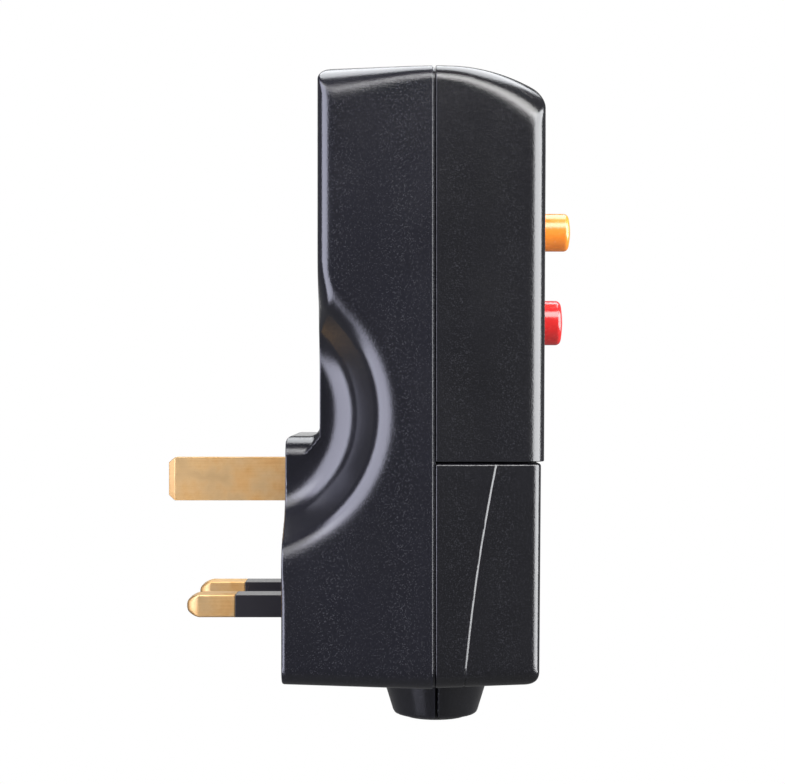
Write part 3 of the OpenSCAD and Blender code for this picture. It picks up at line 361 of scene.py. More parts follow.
def scoop_table():
    """Depth and steepness of a finger scoop against the way in from its rim."""
    turn = np.linspace(0, SCOOP_SLOPE, SCOOP_STEPS)
    back = turn[::-1]
    rolls = SCOOP_RIM_R + SCOOP_FLOOR_R
    run = (SCOOP_DEPTH - rolls * (1 - math.cos(SCOOP_SLOPE))) / math.sin(SCOOP_SLOPE)
    end = rolls * math.sin(SCOOP_SLOPE) + run * math.cos(SCOOP_SLOPE)
    way = np.concatenate([SCOOP_RIM_R * np.sin(turn), end - SCOOP_FLOOR_R * np.sin(back)])
    rim_depth = SCOOP_RIM_R * (1 - np.cos(turn))
    floor_depth = SCOOP_DEPTH - SCOOP_FLOOR_R * (1 - np.cos(back))
    return way, np.concatenate([rim_depth, floor_depth]), np.tan(np.concatenate([turn, back]))


SCOOP_WAY, SCOOP_FALL, SCOOP_STEEP = scoop_table()


def scooped_side(x, y, z, half):
    """Side face with a round dish for the fingers, centred behind the case."""
    dish = np.hypot(x - SCOOP_X, z - SCOOP_Z) - SCOOP_R
    mouth = merge(dish, x - UPPER_REAR_X, SCOOP_MOUTH_R)
    above = ease(z, SCOOP_Z, SCOOP_Z + SCOOP_MOUTH_RISE) * (1 - ease(-dish, *SCOOP_MOUTH_FADE))
    way = -dish - (mouth - dish) * above
    fall = np.interp(way, SCOOP_WAY, SCOOP_FALL)
    steep = np.interp(way, SCOOP_WAY, SCOOP_STEEP, left=0, right=0)
    return (y - half + fall) / np.sqrt(1 + steep ** 2)


def outlet_field(p):
    """Tapered cable outlet, both halves."""
    x, y, z = p
    length = CASE_FOOT - OUTLET_END_Z
    growth = (OUTLET_BASE_R - OUTLET_END_R) / length
    radius = OUTLET_END_R + growth * np.clip(z - OUTLET_END_Z, 0, length)
    cone = (np.hypot(x - OUTLET_X, y) - radius) / math.hypot(1, growth)
    return np.maximum(meet(cone, OUTLET_END_Z - z, OUTLET_EDGE_R), z - ROOM_FOOT_Z)


def rolled_ledge(x, z, side):
    """Ledge with its side edge rolled over, as far as a slanting plane at the upper rear face."""
    step = merge(z - LEDGE_Z, UPPER_REAR_X - x, LEDGE_FILLET_R)
    slant = LEDGE_SLANT * np.clip(LEDGE_Z - z, 0, LEDGE_SLANT_DROP)
    end = (UPPER_REAR_X - x - slant) / math.hypot(1, LEDGE_SLANT)
    return merge(meet(step, side, LEDGE_ROLL_R), end, LEDGE_END_R)


def rear_outside(p):
    """Outer skin of the rear half, with top edges that grow rounder away from the parting line."""
    x, y, z = p
    foot = CASE_FOOT + END_TAPER * (1 - x / PARTING_X) - z
    upper = meet(UPPER_REAR_X - x, z - REAR_TOP_Z, UPPER_EDGE_R)
    upper = np.maximum(upper, LEDGE_Z - UPPER_OVERLAP - z)
    block = meet(meet(-x, z - LEDGE_Z, LEDGE_EDGE_R), foot, FOOT_CORNER_R)
    profile = merge(upper, block, LEDGE_FILLET_R)
    half = HALF_WIDTH - SIDE_DRAFT * (PARTING_X - x) / PARTING_X
    side = scooped_side(x, y, z, half)
    top_r = TOP_EDGE_R + REAR_TOP_GROWTH * np.clip(PARTING_X - x, 0, ROUNDING_REACH)
    r = SCOOP_EDGE_R + (SIDE_EDGE_R - SCOOP_EDGE_R) * ease(z, *SIDE_EDGE_RISE)
    r = r + (BLOCK_EDGE_R - SCOOP_EDGE_R) * (1 - ease(z, *BLOCK_EDGE_FADE))
    ends = np.maximum(meet(z - REAR_TOP_Z, side, top_r), meet(foot, side, FOOT_ROLL_R))
    return np.maximum(inside_both(ends, meet(profile, side, r)), rolled_ledge(x, z, side))


def rear_rooms(p):
    """Hollows behind the parting line, narrow between the finger scoops."""
    inner = astride(INNER_WIDTH)
    waist = astride(WAIST_WIDTH)
    rooms = [
        (BASE_X, inner, (ROOM_FOOT_Z, SCOOP_LOW_Z)),
        (BASE_X, waist, (SCOOP_LOW_Z - ROOM_OVERLAP, SEAM_FRONT_Z)),
        (BACK_ROOM_X, waist, (LEDGE_Z, SCOOP_HIGH_Z + ROOM_OVERLAP)),
        (BACK_ROOM_X, astride(BOARD_WIDTH), (SCOOP_HIGH_Z, ROOM_TOP_Z)),
        (DECK_X, inner, (ROOM_FOOT_Z, SEAM_FRONT_Z)),
        (DECK_X, inner, (RIB_TOP_Z, ROOM_TOP_Z)),
    ]
    return any_of(slab(p, (back, CLEAR_AHEAD), y, z, ROOM_CORNER_R) for back, y, z in rooms)


def parting_lip(p):
    """Tongue behind the shadow gap, with its root on the wall."""
    tongue_x = (LIP_START_X, LIP_END_X)
    root_x = (LIP_START_X, REAR_END_X)
    side_z = (LIP_LOW_Z, LIP_HIGH_Z)
    parts = [
        (tongue_x, (LIP_Y - LIP_T, LIP_Y), side_z),
        (root_x, (LIP_Y - LIP_T, LIP_Y + SINK), side_z),
        (tongue_x, astride(LIP_Y), (LIP_HIGH_Z - LIP_T, LIP_HIGH_Z)),
        (root_x, astride(LIP_Y), (LIP_HIGH_Z - LIP_T, LIP_HIGH_Z + SINK)),
    ]
    lip = any_of(slab(p, *part, LIP_EDGE_R) for part in parts)
    seam_break = slab(p, (INSIDE_X, CLEAR_AHEAD), astride(CLEAR_AHEAD), LIP_BREAK_Z)
    return carve(lip, seam_break, LIP_EDGE_R)


def rear_fittings(p):
    """Screw pillars and the saddle under the cord."""
    pillars = [
        ((UPPER_REAR_X + SINK, PARTING_X), UPPER_SCREW_Y, UPPER_SCREW_Z, PILLAR_R),
        ((DECK_X - SINK, PARTING_X), LOWER_SCREW_Y, LOWER_SCREW_Z, PILLAR_R),
        ((BASE_X - SINK, GRIP_X), GRIP_Y, GRIP_Z, GRIP_PILLAR_R),
        ((BASE_X - SINK, GRIP_X), 0, COVER_SCREW_Z, PILLAR_R),
    ]
    saddle_x = (BASE_X - SINK, OUTLET_X - SADDLE_DROP)
    saddle_z = (GRIP_Z - SADDLE_LENGTH / 2, GRIP_Z + SADDLE_LENGTH / 2)
    saddle = slab(p, saddle_x, astride(SADDLE_HALF), saddle_z, PILLAR_EDGE_R)
    return merge(any_of(rod(p, *pillar, PILLAR_EDGE_R) for pillar in pillars), saddle, ROOT_R)


def rear_holes(p):
    """Seat of the bush, room for the cord, pin slots, notches for the feed strips and screw holes."""
    floor_x = (CLEAR_BEHIND, BASE_X + SINK)
    earth_z = (EARTH_Z - EARTH_SLOT_H, EARTH_Z + EARTH_SLOT_H)
    pin_y = (PIN_Y - PIN_SLOT_W, PIN_Y + PIN_SLOT_W)
    screws = [
        (CLEAR_BEHIND, UPPER_SCREW_Y, UPPER_SCREW_Z),
        (LOWER_BORE_X, LOWER_SCREW_Y, LOWER_SCREW_Z),
        (GRIP_BORE_X, GRIP_Y, GRIP_Z),
        (COVER_BORE_X, 0, COVER_SCREW_Z),
    ]
    holes = [
        upright(p, OUTLET_X, BUSH_SEAT_R, (CLEAR_BELOW, ROOM_FOOT_Z + SEAT_LAP)),
        upright(p, OUTLET_X, BUSH_BORE_R, (GRIP_Z - SADDLE_LENGTH, GRIP_Z + SADDLE_LENGTH)),
        slab(p, floor_x, astride(EARTH_SLOT_W), earth_z),
        slab(p, floor_x, pin_y, (-PIN_SLOT_H, PIN_SLOT_H)),
        slab(p, (DECK_X, CLEAR_AHEAD), FEED_NOTCH_Y, NOTCH_Z),
        rod(p, (CLEAR_BEHIND, UPPER_HEAD_X), UPPER_SCREW_Y, UPPER_SCREW_Z, HEAD_BORE_R),
    ]
    holes += [rod(p, (start, CLEAR_AHEAD), y, z, SCREW_BORE_R) for start, y, z in screws]
    return any_of(holes)


def rear_housing_field(x, y, z):
    p = (x, y, z)
    outside = rear_outside(p)
    body = meet(outside, x - REAR_END_X, PARTING_EDGE_R)
    gap_floor = np.maximum(outside + GAP_DEPTH, x - FRONT_START_X + GAP_LAP)
    body = merge(body, gap_floor, GAP_ROOT_R)
    body = merge(body, meet(outlet_field(p), x - OUTLET_X + OUTLET_GAP, PARTING_EDGE_R), ROOT_R)
    body = carve(body, rear_rooms(p), ROOM_EDGE_R)
    body = merge(body, parting_lip(p), LIP_ROOT_R)
    body = merge(body, rear_fittings(p), ROOT_R)
    return carve(body, rear_holes(p), REAR_HOLE_EDGE_R)


def button_panel(p, face):
    """Sunk panel round both buttons."""
    middle = (RESET_Z + TEST_Z) / 2
    reach = (TEST_Z - RESET_Z) / 2 + PANEL_OVER
    stadium = np.hypot(p[1], np.maximum(np.abs(p[2] - middle) - reach, 0)) - PANEL_HALF
    return meet(stadium, -face - PANEL_RECESS, PANEL_FLOOR_R)


def front_crown(x, z):
    """Top of the front half: level at the parting line, then falling in an arc."""
    arc = np.hypot(x - CROWN_START_X, np.maximum(z - CROWN_TOP_Z + CROWN_R, 0)) - CROWN_R
    return np.where(x < CROWN_START_X, z - CROWN_TOP_Z, arc)


def front_fittings(p):
    """Button guides, screw pillars, ears of the lower screws and the lip behind the cover's seam."""
    guide_x = (COLLAR_X - GUIDE_LENGTH, FRONT_INNER_X + SINK)
    guide_wall = COLLAR_OVER + GUIDE_GAP + GUIDE_WALL
    pillar_x = (PARTING_X, UPPER_PILLAR_END_X)
    lip_z = (SEAM_FRONT_Z - SEAM_LIP_DROP, RIB_TOP_Z)
    fittings = [rod(p, guide_x, 0, z, r + guide_wall, FITTING_EDGE_R) for z, r in BUTTONS]
    fittings += [
        rod(p, pillar_x, UPPER_SCREW_Y, UPPER_SCREW_Z, PILLAR_R, FITTING_EDGE_R),
        slab(p, (PARTING_X, EAR_X), EAR_Y, (EAR_LOW_Z, EAR_HIGH_Z), FITTING_EDGE_R),
        slab(p, (FRONT_START_X, EAR_X), EAR_Y, (SEAM_FRONT_Z - SINK, RIB_TOP_Z), FITTING_EDGE_R),
        slab(p, (EAR_X, SEAM_LIP_X[1]), SEAM_LIP_Y, lip_z, LIP_EDGE_R),
        slab(p, SEAM_LIP_X, astride(SEAM_LIP_Y[1]), lip_z, LIP_EDGE_R),
    ]
    return any_of(fittings)


def front_holes(p):
    """Button holes and their guides, screw holes and the notch for the output wires."""
    guide_r = COLLAR_OVER + GUIDE_GAP
    screws = [
        (UPPER_BORE_END_X, UPPER_SCREW_Y, UPPER_SCREW_Z),
        (LOWER_BORE_END_X, LOWER_SCREW_Y, LOWER_SCREW_Z),
    ]
    holes = [slab(p, (INSIDE_X, WIRE_NOTCH_X), astride(WIRE_NOTCH_HALF), NOTCH_Z)]
    holes += [rod(p, (INSIDE_X, FRONT_INNER_X), 0, z, r + guide_r) for z, r in BUTTONS]
    holes += [rod(p, (INSIDE_X, CLEAR_AHEAD), 0, z, r + BUTTON_GAP) for z, r in BUTTONS]
    holes += [rod(p, (INSIDE_X, end), y, z, SCREW_BORE_R) for end, y, z in screws]
    return any_of(holes)


def front_housing_field(x, y, z):
    p = (x, y, z)
    crown = front_crown(x, z)
    face = x - FRONT_X + FACE_LEAN * np.maximum(FACE_LEAN_TOP_Z - z, 0)
    away = np.clip((x - PARTING_X) / (FRONT_X - PARTING_X), 0, 1)
    side = y - HALF_WIDTH + SIDE_DRAFT * away
    top_r = TOP_EDGE_R + CROWN_GROWTH * np.clip(x - PARTING_X, 0, ROUNDING_REACH)
    shell = meet(meet(crown, face, UPPER_EDGE_R), side, FRONT_EDGE_R)
    body = inside_both(meet(crown, side, top_r), shell)
    body = meet(body, FRONT_START_X - x, PARTING_EDGE_R)
    body = meet(body, SEAM_FRONT_Z - z, PARTING_EDGE_R)
    hollow = meet(meet(crown + WALL, x - FRONT_INNER_X, HOLLOW_CORNER_R), y - INNER_WIDTH, HOLLOW_CORNER_R)
    body = carve(body, meet(hollow, RIB_TOP_Z - z, HOLLOW_FLOOR_R), ROOM_EDGE_R)
    body = merge(body, front_fittings(p), FITTING_ROOT_R)
    body = carve(body, button_panel(p, face), PANEL_EDGE_R)
    return carve(body, front_holes(p), FRONT_HOLE_EDGE_R)


def crease_x(z):
    """Where the slanting line crosses the height z."""
    t = np.clip((z - CASE_FOOT) / (SEAM_Z - CASE_FOOT), *CREASE_SPAN)
    return CREASE_FOOT_X + CREASE_RUN * t - CREASE_BOW * t * (1 - t)


def creased_side(x, y, z, half):
    """Side of the cover with a narrow ramp down to its front part."""
    along = (x - crease_x(z)) / CREASE_WIDTH
    fall = CREASE_STEP * np.clip(along, 0, 1)
    steep = np.where((along > 0) & (along < 1), CREASE_STEP / CREASE_WIDTH, 0)
    return (y - half + fall) / np.sqrt(1 + steep ** 2)


def wiring_cover_field(x, y, z):
    p = (x, y, z)
    foot = CASE_FOOT + END_TAPER / COVER_TAPER_RUN * (x - COVER_TAPER_X) - z
    face = x - COVER_X + COVER_LEAN * (SEAM_COVER_Z - z)
    half = HALF_WIDTH - SIDE_DRAFT * np.clip((x - PARTING_X) / FRONT_DEPTH, 0, 1)
    side = creased_side(x, y, z, half)
    shell = meet(meet(foot, face, UPPER_EDGE_R), side, COVER_EDGE_R)
    body = inside_both(meet(foot, side, FOOT_ROLL_R), shell)
    body = meet(body, FRONT_START_X - x, PARTING_EDGE_R)
    body = meet(body, z - SEAM_COVER_Z, SEAM_EDGE_R)
    hollow = meet(x - COVER_INNER_X, y - INNER_WIDTH, HOLLOW_CORNER_R)
    body = carve(body, meet(hollow, ROOM_FOOT_Z - z, HOLLOW_CORNER_R), ROOM_EDGE_R)
    outlet_x = OUTLET_X + OUTLET_GAP
    step_z = (CLEAR_BELOW, ROOM_FOOT_Z + SEAT_LAP)
    step = slab(p, (INSIDE_X, outlet_x), astride(OUTLET_BASE_R + OUTLET_STEP), step_z)
    body = carve(body, step, OUTLET_STEP_EDGE_R)
    boss = rod(p, (COVER_BOSS_X, COVER_INNER_X + SINK), 0, COVER_SCREW_Z, COVER_BOSS_R, FITTING_EDGE_R)
    outlet = meet(outlet_field(p), outlet_x - x, PARTING_EDGE_R)
    body = merge(body, merge(boss, outlet, BOSS_ROOT_R), ROOT_R)
    holes = any_of([
        upright(p, OUTLET_X, BUSH_SEAT_R, (CLEAR_BELOW, ROOM_FOOT_Z + SINK)),
        rod(p, (INSIDE_X, CLEAR_AHEAD), 0, COVER_SCREW_Z, SCREW_BORE_R),
        rod(p, (COVER_HEAD_X, CLEAR_AHEAD), 0, COVER_SCREW_Z, HEAD_BORE_R),
    ])
    return carve(body, holes, FRONT_HOLE_EDGE_R)


# Meshes from the fields

def lines(low, high, step, bands):
    """Grid lines from low to high, closer together inside each (low, high, step) band."""
    marks = [low]
    while marks[-1] < high:
        here = marks[-1]
        pace = min([step] + [b[2] for b in bands if b[0] <= here < b[1]])
        ahead = [b[0] for b in bands if here < b[0] < here + pace and b[2] < pace]
        marks.append(min(ahead) if ahead else here + pace)
    return np.array(marks)


def mirrored(half_lines):
    return np.concatenate([-half_lines[:0:-1], half_lines])


def sample(field, xs, half_ys, zs, warp):
    """Grid coordinates and the field's values at them, mirrored about the middle plane."""
    ys = mirrored(half_ys)
    shape = (len(xs), len(ys), len(zs))
    plan_x = xs[:, None, None]
    plan_z = zs[None, None, :]
    if warp is not None:
        plan_x = plan_x + warp(plan_x, plan_z)
    near = field(plan_x, half_ys[None, :, None], plan_z)
    values = np.concatenate([near[:, :0:-1], near], axis=1)
    grid = [np.broadcast_to(line, shape) for line in (plan_x, ys[None, :, None], plan_z)]
    return grid, values


def crossings(grid, values, axis, cells):
    """Grid edges along an axis that the surface crosses: their places, the points and which start inside."""
    first = [slice(None)] * 3
    second = [slice(None)] * 3
    first[axis] = slice(0, -1)
    second[axis] = slice(1, None)
    inside = values < 0
    spot = np.argwhere(inside[tuple(first)] != inside[tuple(second)])
    u, v = (axis + 1) % 3, (axis + 2) % 3
    keep = (spot[:, u] > 0) & (spot[:, v] > 0) & (spot[:, u] < cells[u]) & (spot[:, v] < cells[v])
    spot = spot[keep]
    here = tuple(spot.T)
    there = list(here)
    there[axis] = here[axis] + 1
    there = tuple(there)
    a, b = values[here], values[there]
    t = a / (a - b)
    points = [line[here] + t * (line[there] - line[here]) for line in grid]
    return spot, points, a < 0


def net(field, xs, half_ys, zs, warp=None):
    """Quads over the field's zero surface, one point for each grid cell that it crosses."""
    grid, values = sample(field, xs, half_ys, zs, warp)
    cells = [count - 1 for count in values.shape]
    total = math.prod(cells)
    sums = np.zeros((3, total))
    counts = np.zeros(total)
    quads = []
    for axis in range(3):
        spot, crossed, outward = crossings(grid, values, axis, cells)
        ring = []
        for du, dv in ((-1, -1), (0, -1), (0, 0), (-1, 0)):
            cell = spot.copy()
            cell[:, (axis + 1) % 3] += du
            cell[:, (axis + 2) % 3] += dv
            ids = (cell[:, 0] * cells[1] + cell[:, 1]) * cells[2] + cell[:, 2]
            ring.append(ids)
            counts += np.bincount(ids, minlength=total)
            for k in range(3):
                sums[k] += np.bincount(ids, weights=crossed[k], minlength=total)
        quad = np.stack(ring, axis=1)
        quads.append(np.where(outward[:, None], quad, quad[:, ::-1]))
    used = np.flatnonzero(counts)
    number = np.full(total, -1)
    number[used] = np.arange(len(used))
    points = (sums[:, used] / counts[used]).T
    return points, number[np.concatenate(quads)]


def at(field, points):
    return field(points[:, 0], np.abs(points[:, 1]), points[:, 2])


def steepest(field, points, h):
    """Gradient of the field at the points."""
    steps = np.eye(3) * h
    return np.stack([at(field, points + d) - at(field, points - d) for d in steps], axis=1) / (2 * h)


def bend(field, points, h):
    """How sharply the surface turns outwards at each point."""
    steps = np.concatenate([np.eye(3), -np.eye(3)]) * h
    return sum(at(field, points + d) for d in steps) / h


def settle(field, points):
    """Points moved onto the surface, with the way out at each."""
    for _ in range(SETTLING_PASSES):
        value = at(field, points)
        ahead = [at(field, points + d) - value for d in np.eye(3) * SLOPE_STEP]
        slope = np.stack(ahead, axis=1) / SLOPE_STEP
        size = np.maximum((slope ** 2).sum(axis=1), LEAST_SLOPE)
        points = points - np.clip(value / size, -LONGEST_MOVE, LONGEST_MOVE)[:, None] * slope
    slope = steepest(field, points, SLOPE_STEP)
    return points, slope / np.maximum(np.linalg.norm(slope, axis=1), TINY)[:, None]


def skin_depth(points, normals):
    """Share of the sandy skin at each point: full on the flats, least in rolls and scoops."""
    facing = np.abs(normals)
    on_side = ease(np.abs(points[:, 1]), *SKIN_SIDE_BAND)
    kept = np.where(facing[:, 1] > SKIN_SIDEWAYS, on_side, SKIN_ON_ENDS)
    return SKIN_LEAST + (1 - SKIN_LEAST) * ease(facing.max(axis=1), *SKIN_FACING) * kept


def add_object(name, data):
    made = bpy.data.objects.new(name, data)
    bpy.context.scene.collection.objects.link(made)
    return made


def shade_smooth(mesh):
    mesh.polygons.foreach_set("use_smooth", np.ones(len(mesh.polygons), dtype=bool))


def field_piece(name, field, xs, half_ys, zs, warp=None):
    """Mesh object over a field, smooth by the field's own normals, with its edges marked for wear."""
    points, quads = net(field, xs, half_ys, zs, warp)
    points, normals = settle(field, points)
    marks = {"edge": np.clip(bend(field, points, BEND_STEP), 0, 1), "skin": skin_depth(points, normals)}
    mesh = bpy.data.meshes.new(name)
    mesh.from_pydata((points * MM).tolist(), [], quads.tolist())
    for label, values in marks.items():
        mark = mesh.attributes.new(label, "FLOAT", "POINT")
        mark.data.foreach_set("value", values.astype(np.float32))
    shade_smooth(mesh)
    mesh.normals_split_custom_set_from_vertices(normals.tolist())
    mesh.update()
    return add_object(name, mesh)


def rear_housing():
    xs = lines(-0.6, 32.3, 0.8, [
        (-0.6, 3.4, 0.4), (3.4, 5.8, 0.25), (5.8, 6.7, 0.1), (6.7, 10.6, 0.45),
        (21.2, 25.4, 0.5), (25.4, 27.1, 0.1), (27.1, 28.0, 0.3), (30.9, 32.0, 0.15)])
    half_ys = lines(0, 31.4, 0.8, [
        (1.6, 2.4, 0.2), (7.4, 8.3, 0.25), (13.4, 19.8, 0.25), (19.8, 26, 0.5), (27.2, 31.4, 0.28)])
    zs = lines(-22.2, 95.2, 0.8, [
        (-22.2, -14, 0.4), (-14, -8.4, 0.35), (-8.4, -2, 0.5), (2, 9.2, 0.5), (17.6, 19, 0.3),
        (19, 25.4, 0.45), (25.4, 31, 0.22), (81.4, 89, 0.5), (89, 95.2, 0.3)])
    return field_piece("case_rear_half", rear_housing_field, xs, half_ys, zs)


def front_housing():
    xs = lines(26.0, 45.6, 0.7, [
        (26.0, 27.0, 0.1), (27.0, 29, 0.4), (36, 37.4, 0.3), (40.6, 44, 0.25), (44, 45.6, 0.14)])
    half_ys = lines(0, 31.4, 0.8, [(3, 8.6, 0.3), (18.4, 26, 0.5), (26, 31.4, 0.28)])
    zs = lines(19.3, 95, 0.8, [
        (19.3, 26, 0.5), (26, 27.2, 0.1), (27.2, 29.2, 0.3), (41, 78.6, 0.3), (81.5, 89, 0.5),
        (85, 95, 0.35)])
    return field_piece("case_front_half", front_housing_field, xs, half_ys, zs)


def wiring_cover():
    def follow_crease(x, z):
        before = np.clip((x - FRONT_START_X) / (CREASE_MIDDLE_X - FRONT_START_X), 0, 1)
        after = np.clip((COVER_X - x) / (COVER_X - CREASE_MIDDLE_X), 0, 1)
        return (crease_x(z) - CREASE_MIDDLE_X) * np.minimum(before, after)

    xs = lines(26.0, 44.8, 0.7, [
        (26.0, 27.5, 0.1), (31.2, 31.9, 0.12), (33.7, 34.7, 0.07), (40.4, 44.8, 0.28)])
    half_ys = lines(0, 31.4, 0.8, [(0, 11, 0.5), (27.6, 30.2, 0.28), (30.2, 31.4, 0.1)])
    zs = lines(-22.2, 26.6, 0.8, [(-22.2, -14, 0.4), (-14, -8.4, 0.3), (0, 11, 0.4), (25.4, 26.6, 0.1)])
    return field_piece("wiring_cover_shell", wiring_cover_field, xs, half_ys, zs, follow_crease)


# Turned and softened pieces

def mesh_from(bm, name):
    mesh = bpy.data.meshes.new(name)
    bm.to_mesh(mesh)
    bm.free()
    return mesh


def lathe(name, profile, axis, centre, steps=96, sharp=35):
    """Solid of revolution of a (radius, along) profile that starts and ends on the axis, or closes a ring."""
    bm = bmesh.new()
    rings = []
    for radius, along in profile:
        ring = []
        count = 1 if radius < TINY else steps
        for i in range(count):
            a = 2 * math.pi * i / steps
            c, s = radius * math.cos(a), radius * math.sin(a)
            spot = (along, c, s) if axis == "x" else (c, s, along)
            ring.append(bm.verts.new((Vector(spot) + Vector(centre)) * MM))
        rings.append(ring)
    closed = len(rings[0]) > 1 and len(rings[-1]) > 1
    pairs = list(zip(rings, rings[1:])) + ([(rings[-1], rings[0])] if closed else [])
    for a, b in pairs:
        for i in range(steps):
            j = (i + 1) % steps
            corners = [a[i % len(a)], a[j % len(a)], b[j % len(b)], b[i % len(b)]]
            bm.faces.new(list(dict.fromkeys(corners)))
    bmesh.ops.recalc_face_normals(bm, faces=bm.faces)
    mesh = mesh_from(bm, name)
    shade_smooth(mesh)
    mesh.set_sharp_from_angle(angle=math.radians(sharp))
    return add_object(name, mesh)


def turn_corner(centre_r, centre_x, r, start, end, steps=8):
    """Points of a rounded corner in a lathe profile, angles in degrees from the radius towards the axis."""
    spots = []
    for i in range(steps + 1):
        a = math.radians(start + (end - start) * i / steps)
        spots.append((centre_r + r * math.cos(a), centre_x + r * math.sin(a)))
    return spots


def push_button(name, z, r, tip_x, stem_x):
    """Button with a domed front, rounded rim, collar and stem."""
    rim = 0.95
    dome = 0.3
    fillet = 0.25
    collar_edge = 0.2
    stem_edge = 0.3
    collar_r = r + COLLAR_OVER
    collar_top = COLLAR_X + COLLAR_T
    profile = []
    for angle in range(0, 90, 15):
        lean = math.sin(math.radians(angle))
        profile.append(((r - rim) * lean, tip_x - dome * lean ** 2))
    profile += turn_corner(r - rim, tip_x - dome - rim, rim, 90, 0, 10)
    profile += [(r, collar_top + fillet), (r + fillet, collar_top)]
    profile += turn_corner(collar_r - collar_edge, collar_top - collar_edge, collar_edge, 90, 0, 3)
    profile += turn_corner(collar_r - collar_edge, COLLAR_X + collar_edge, collar_edge, 0, -90, 3)
    profile += [(STEM_R + stem_edge, COLLAR_X), (STEM_R, COLLAR_X - stem_edge)]
    profile += turn_corner(STEM_R - stem_edge, stem_x + stem_edge, stem_edge, 0, -90, 4)
    profile += [(0, stem_x)]
    return lathe(name, profile, "x", (0, 0, z))


def cable_bush():
    lip = 0.45
    flange_z = BUSH_BASE_Z + BUSH_FLANGE_T
    profile = turn_corner(BUSH_R - lip, BUSH_END_Z + lip, lip, 0, -90, 6)
    profile += turn_corner(BUSH_BORE_R + lip, BUSH_END_Z + lip, lip, -90, -180, 6)
    profile += turn_corner(BUSH_BORE_R + lip, flange_z - lip, lip, 180, 90, 6)
    profile += turn_corner(BUSH_FLANGE_R - lip, flange_z - lip, lip, 90, 0, 6)
    profile += [(BUSH_FLANGE_R, BUSH_BASE_Z), (BUSH_R, BUSH_BASE_Z)]
    return lathe("outlet_bush", profile, "z", (OUTLET_X, 0, 0))


def flat_faced(node_name):
    """Mesh of a CAD node with its triangles joined into flat faces."""
    bm = bmesh.new()
    bm.from_mesh(nodes[node_name].data)
    bmesh.ops.remove_doubles(bm, verts=bm.verts, dist=WELD_DISTANCE)
    bmesh.ops.dissolve_limit(bm, angle_limit=FLAT_ANGLE, verts=bm.verts, edges=bm.edges)
    return bm


def softened(node_name, name, width, segments=2, sharp=35, nose_x=None, nose_r=0.0):
    """Copy of a CAD node with its sharp edges rounded, more so behind nose_x."""
    bm = flat_faced(node_name)
    widest = max(width, nose_r)
    weight = bm.edges.layers.float.new("bevel_weight_edge")
    for edge in bm.edges:
        if len(edge.link_faces) == 2 and edge.calc_face_angle() > math.radians(sharp):
            in_nose = nose_x is not None and max(v.co.x for v in edge.verts) < nose_x * MM
            edge[weight] = (nose_r if in_nose else width) / widest
    mesh = mesh_from(bm, name)
    shade_smooth(mesh)
    piece = add_object(name, mesh)
    rounding = piece.modifiers.new("rounded_edges", "BEVEL")
    rounding.width = widest * MM
    rounding.segments = segments
    rounding.limit_method = "WEIGHT"
    normals = piece.modifiers.new("even_faces", "WEIGHTED_NORMAL")
    normals.weight = FACE_WEIGHT
    return piece


def test_leaf_spring():
    """Leaf under the test button, cut across into short lengths."""
    bm = flat_faced("test_leaf")
    for y in np.linspace(LEAF_ROOT_Y, LEAF_TIP_Y, LEAF_LENGTHS + 1)[1:-1]:
        parts = bm.verts[:] + bm.edges[:] + bm.faces[:]
        bmesh.ops.bisect_plane(bm, geom=parts, plane_co=(0, y * MM, 0), plane_no=(0, 1, 0))
    return add_object("test_leaf_spring", mesh_from(bm, "test_leaf_spring"))


def opening_spring_coils():
    return add_object("opening_spring_coils", nodes["opening_springs"].data.copy())


# Shader node groups

FLOAT = "NodeSocketFloat"
MIX_AMOUNT = 0
MIX_FIRST = 6
MIX_SECOND = 7
MIXED = 2


def new_group(name, inputs, outputs):
    """Shader node group with number sockets, and its two ends."""
    tree = bpy.data.node_groups.new(name, "ShaderNodeTree")
    for label, value in inputs.items():
        socket = tree.interface.new_socket(label, in_out="INPUT", socket_type=FLOAT)
        socket.default_value = value
    for label in outputs:
        tree.interface.new_socket(label, in_out="OUTPUT", socket_type=FLOAT)
    return tree, tree.nodes.new("NodeGroupInput"), tree.nodes.new("NodeGroupOutput")


def put_out(tree, out, **sources):
    for label, source in sources.items():
        tree.links.new(source, out.inputs[label])


def node(tree, kind, links=(), **settings):
    """Node with its settings and with (input, source socket or value) pairs joined."""
    made = tree.nodes.new(kind)
    for key, value in settings.items():
        setattr(made, key, value)
    for socket, source in links:
        if isinstance(source, bpy.types.NodeSocket):
            tree.links.new(source, made.inputs[socket])
        else:
            made.inputs[socket].default_value = source
    return made


def maths(tree, operation, *values):
    return node(tree, "ShaderNodeMath", list(enumerate(values)), operation=operation).outputs[0]


def stretch(tree, value, *ends):
    """Value stretched from its low and high end to nought and one, or to a second low and high end."""
    to_ends = ends[2:] or (0.0, 1.0)
    links = list(enumerate((value, *ends[:2], *to_ends)))
    return node(tree, "ShaderNodeMapRange", links).outputs[0]


def noise(tree, where, scale, detail=2.0, rough=0.5):
    links = [("Vector", where), ("Scale", scale), ("Detail", detail), ("Roughness", rough)]
    return node(tree, "ShaderNodeTexNoise", links).outputs[0]


def mix_colour(tree, amount, first, second):
    links = [(MIX_AMOUNT, amount), (MIX_FIRST, first), (MIX_SECOND, second)]
    return node(tree, "ShaderNodeMix", links, data_type="RGBA").outputs[MIXED]


def object_place(tree):
    return tree.nodes.new("ShaderNodeTexCoord").outputs["Object"]


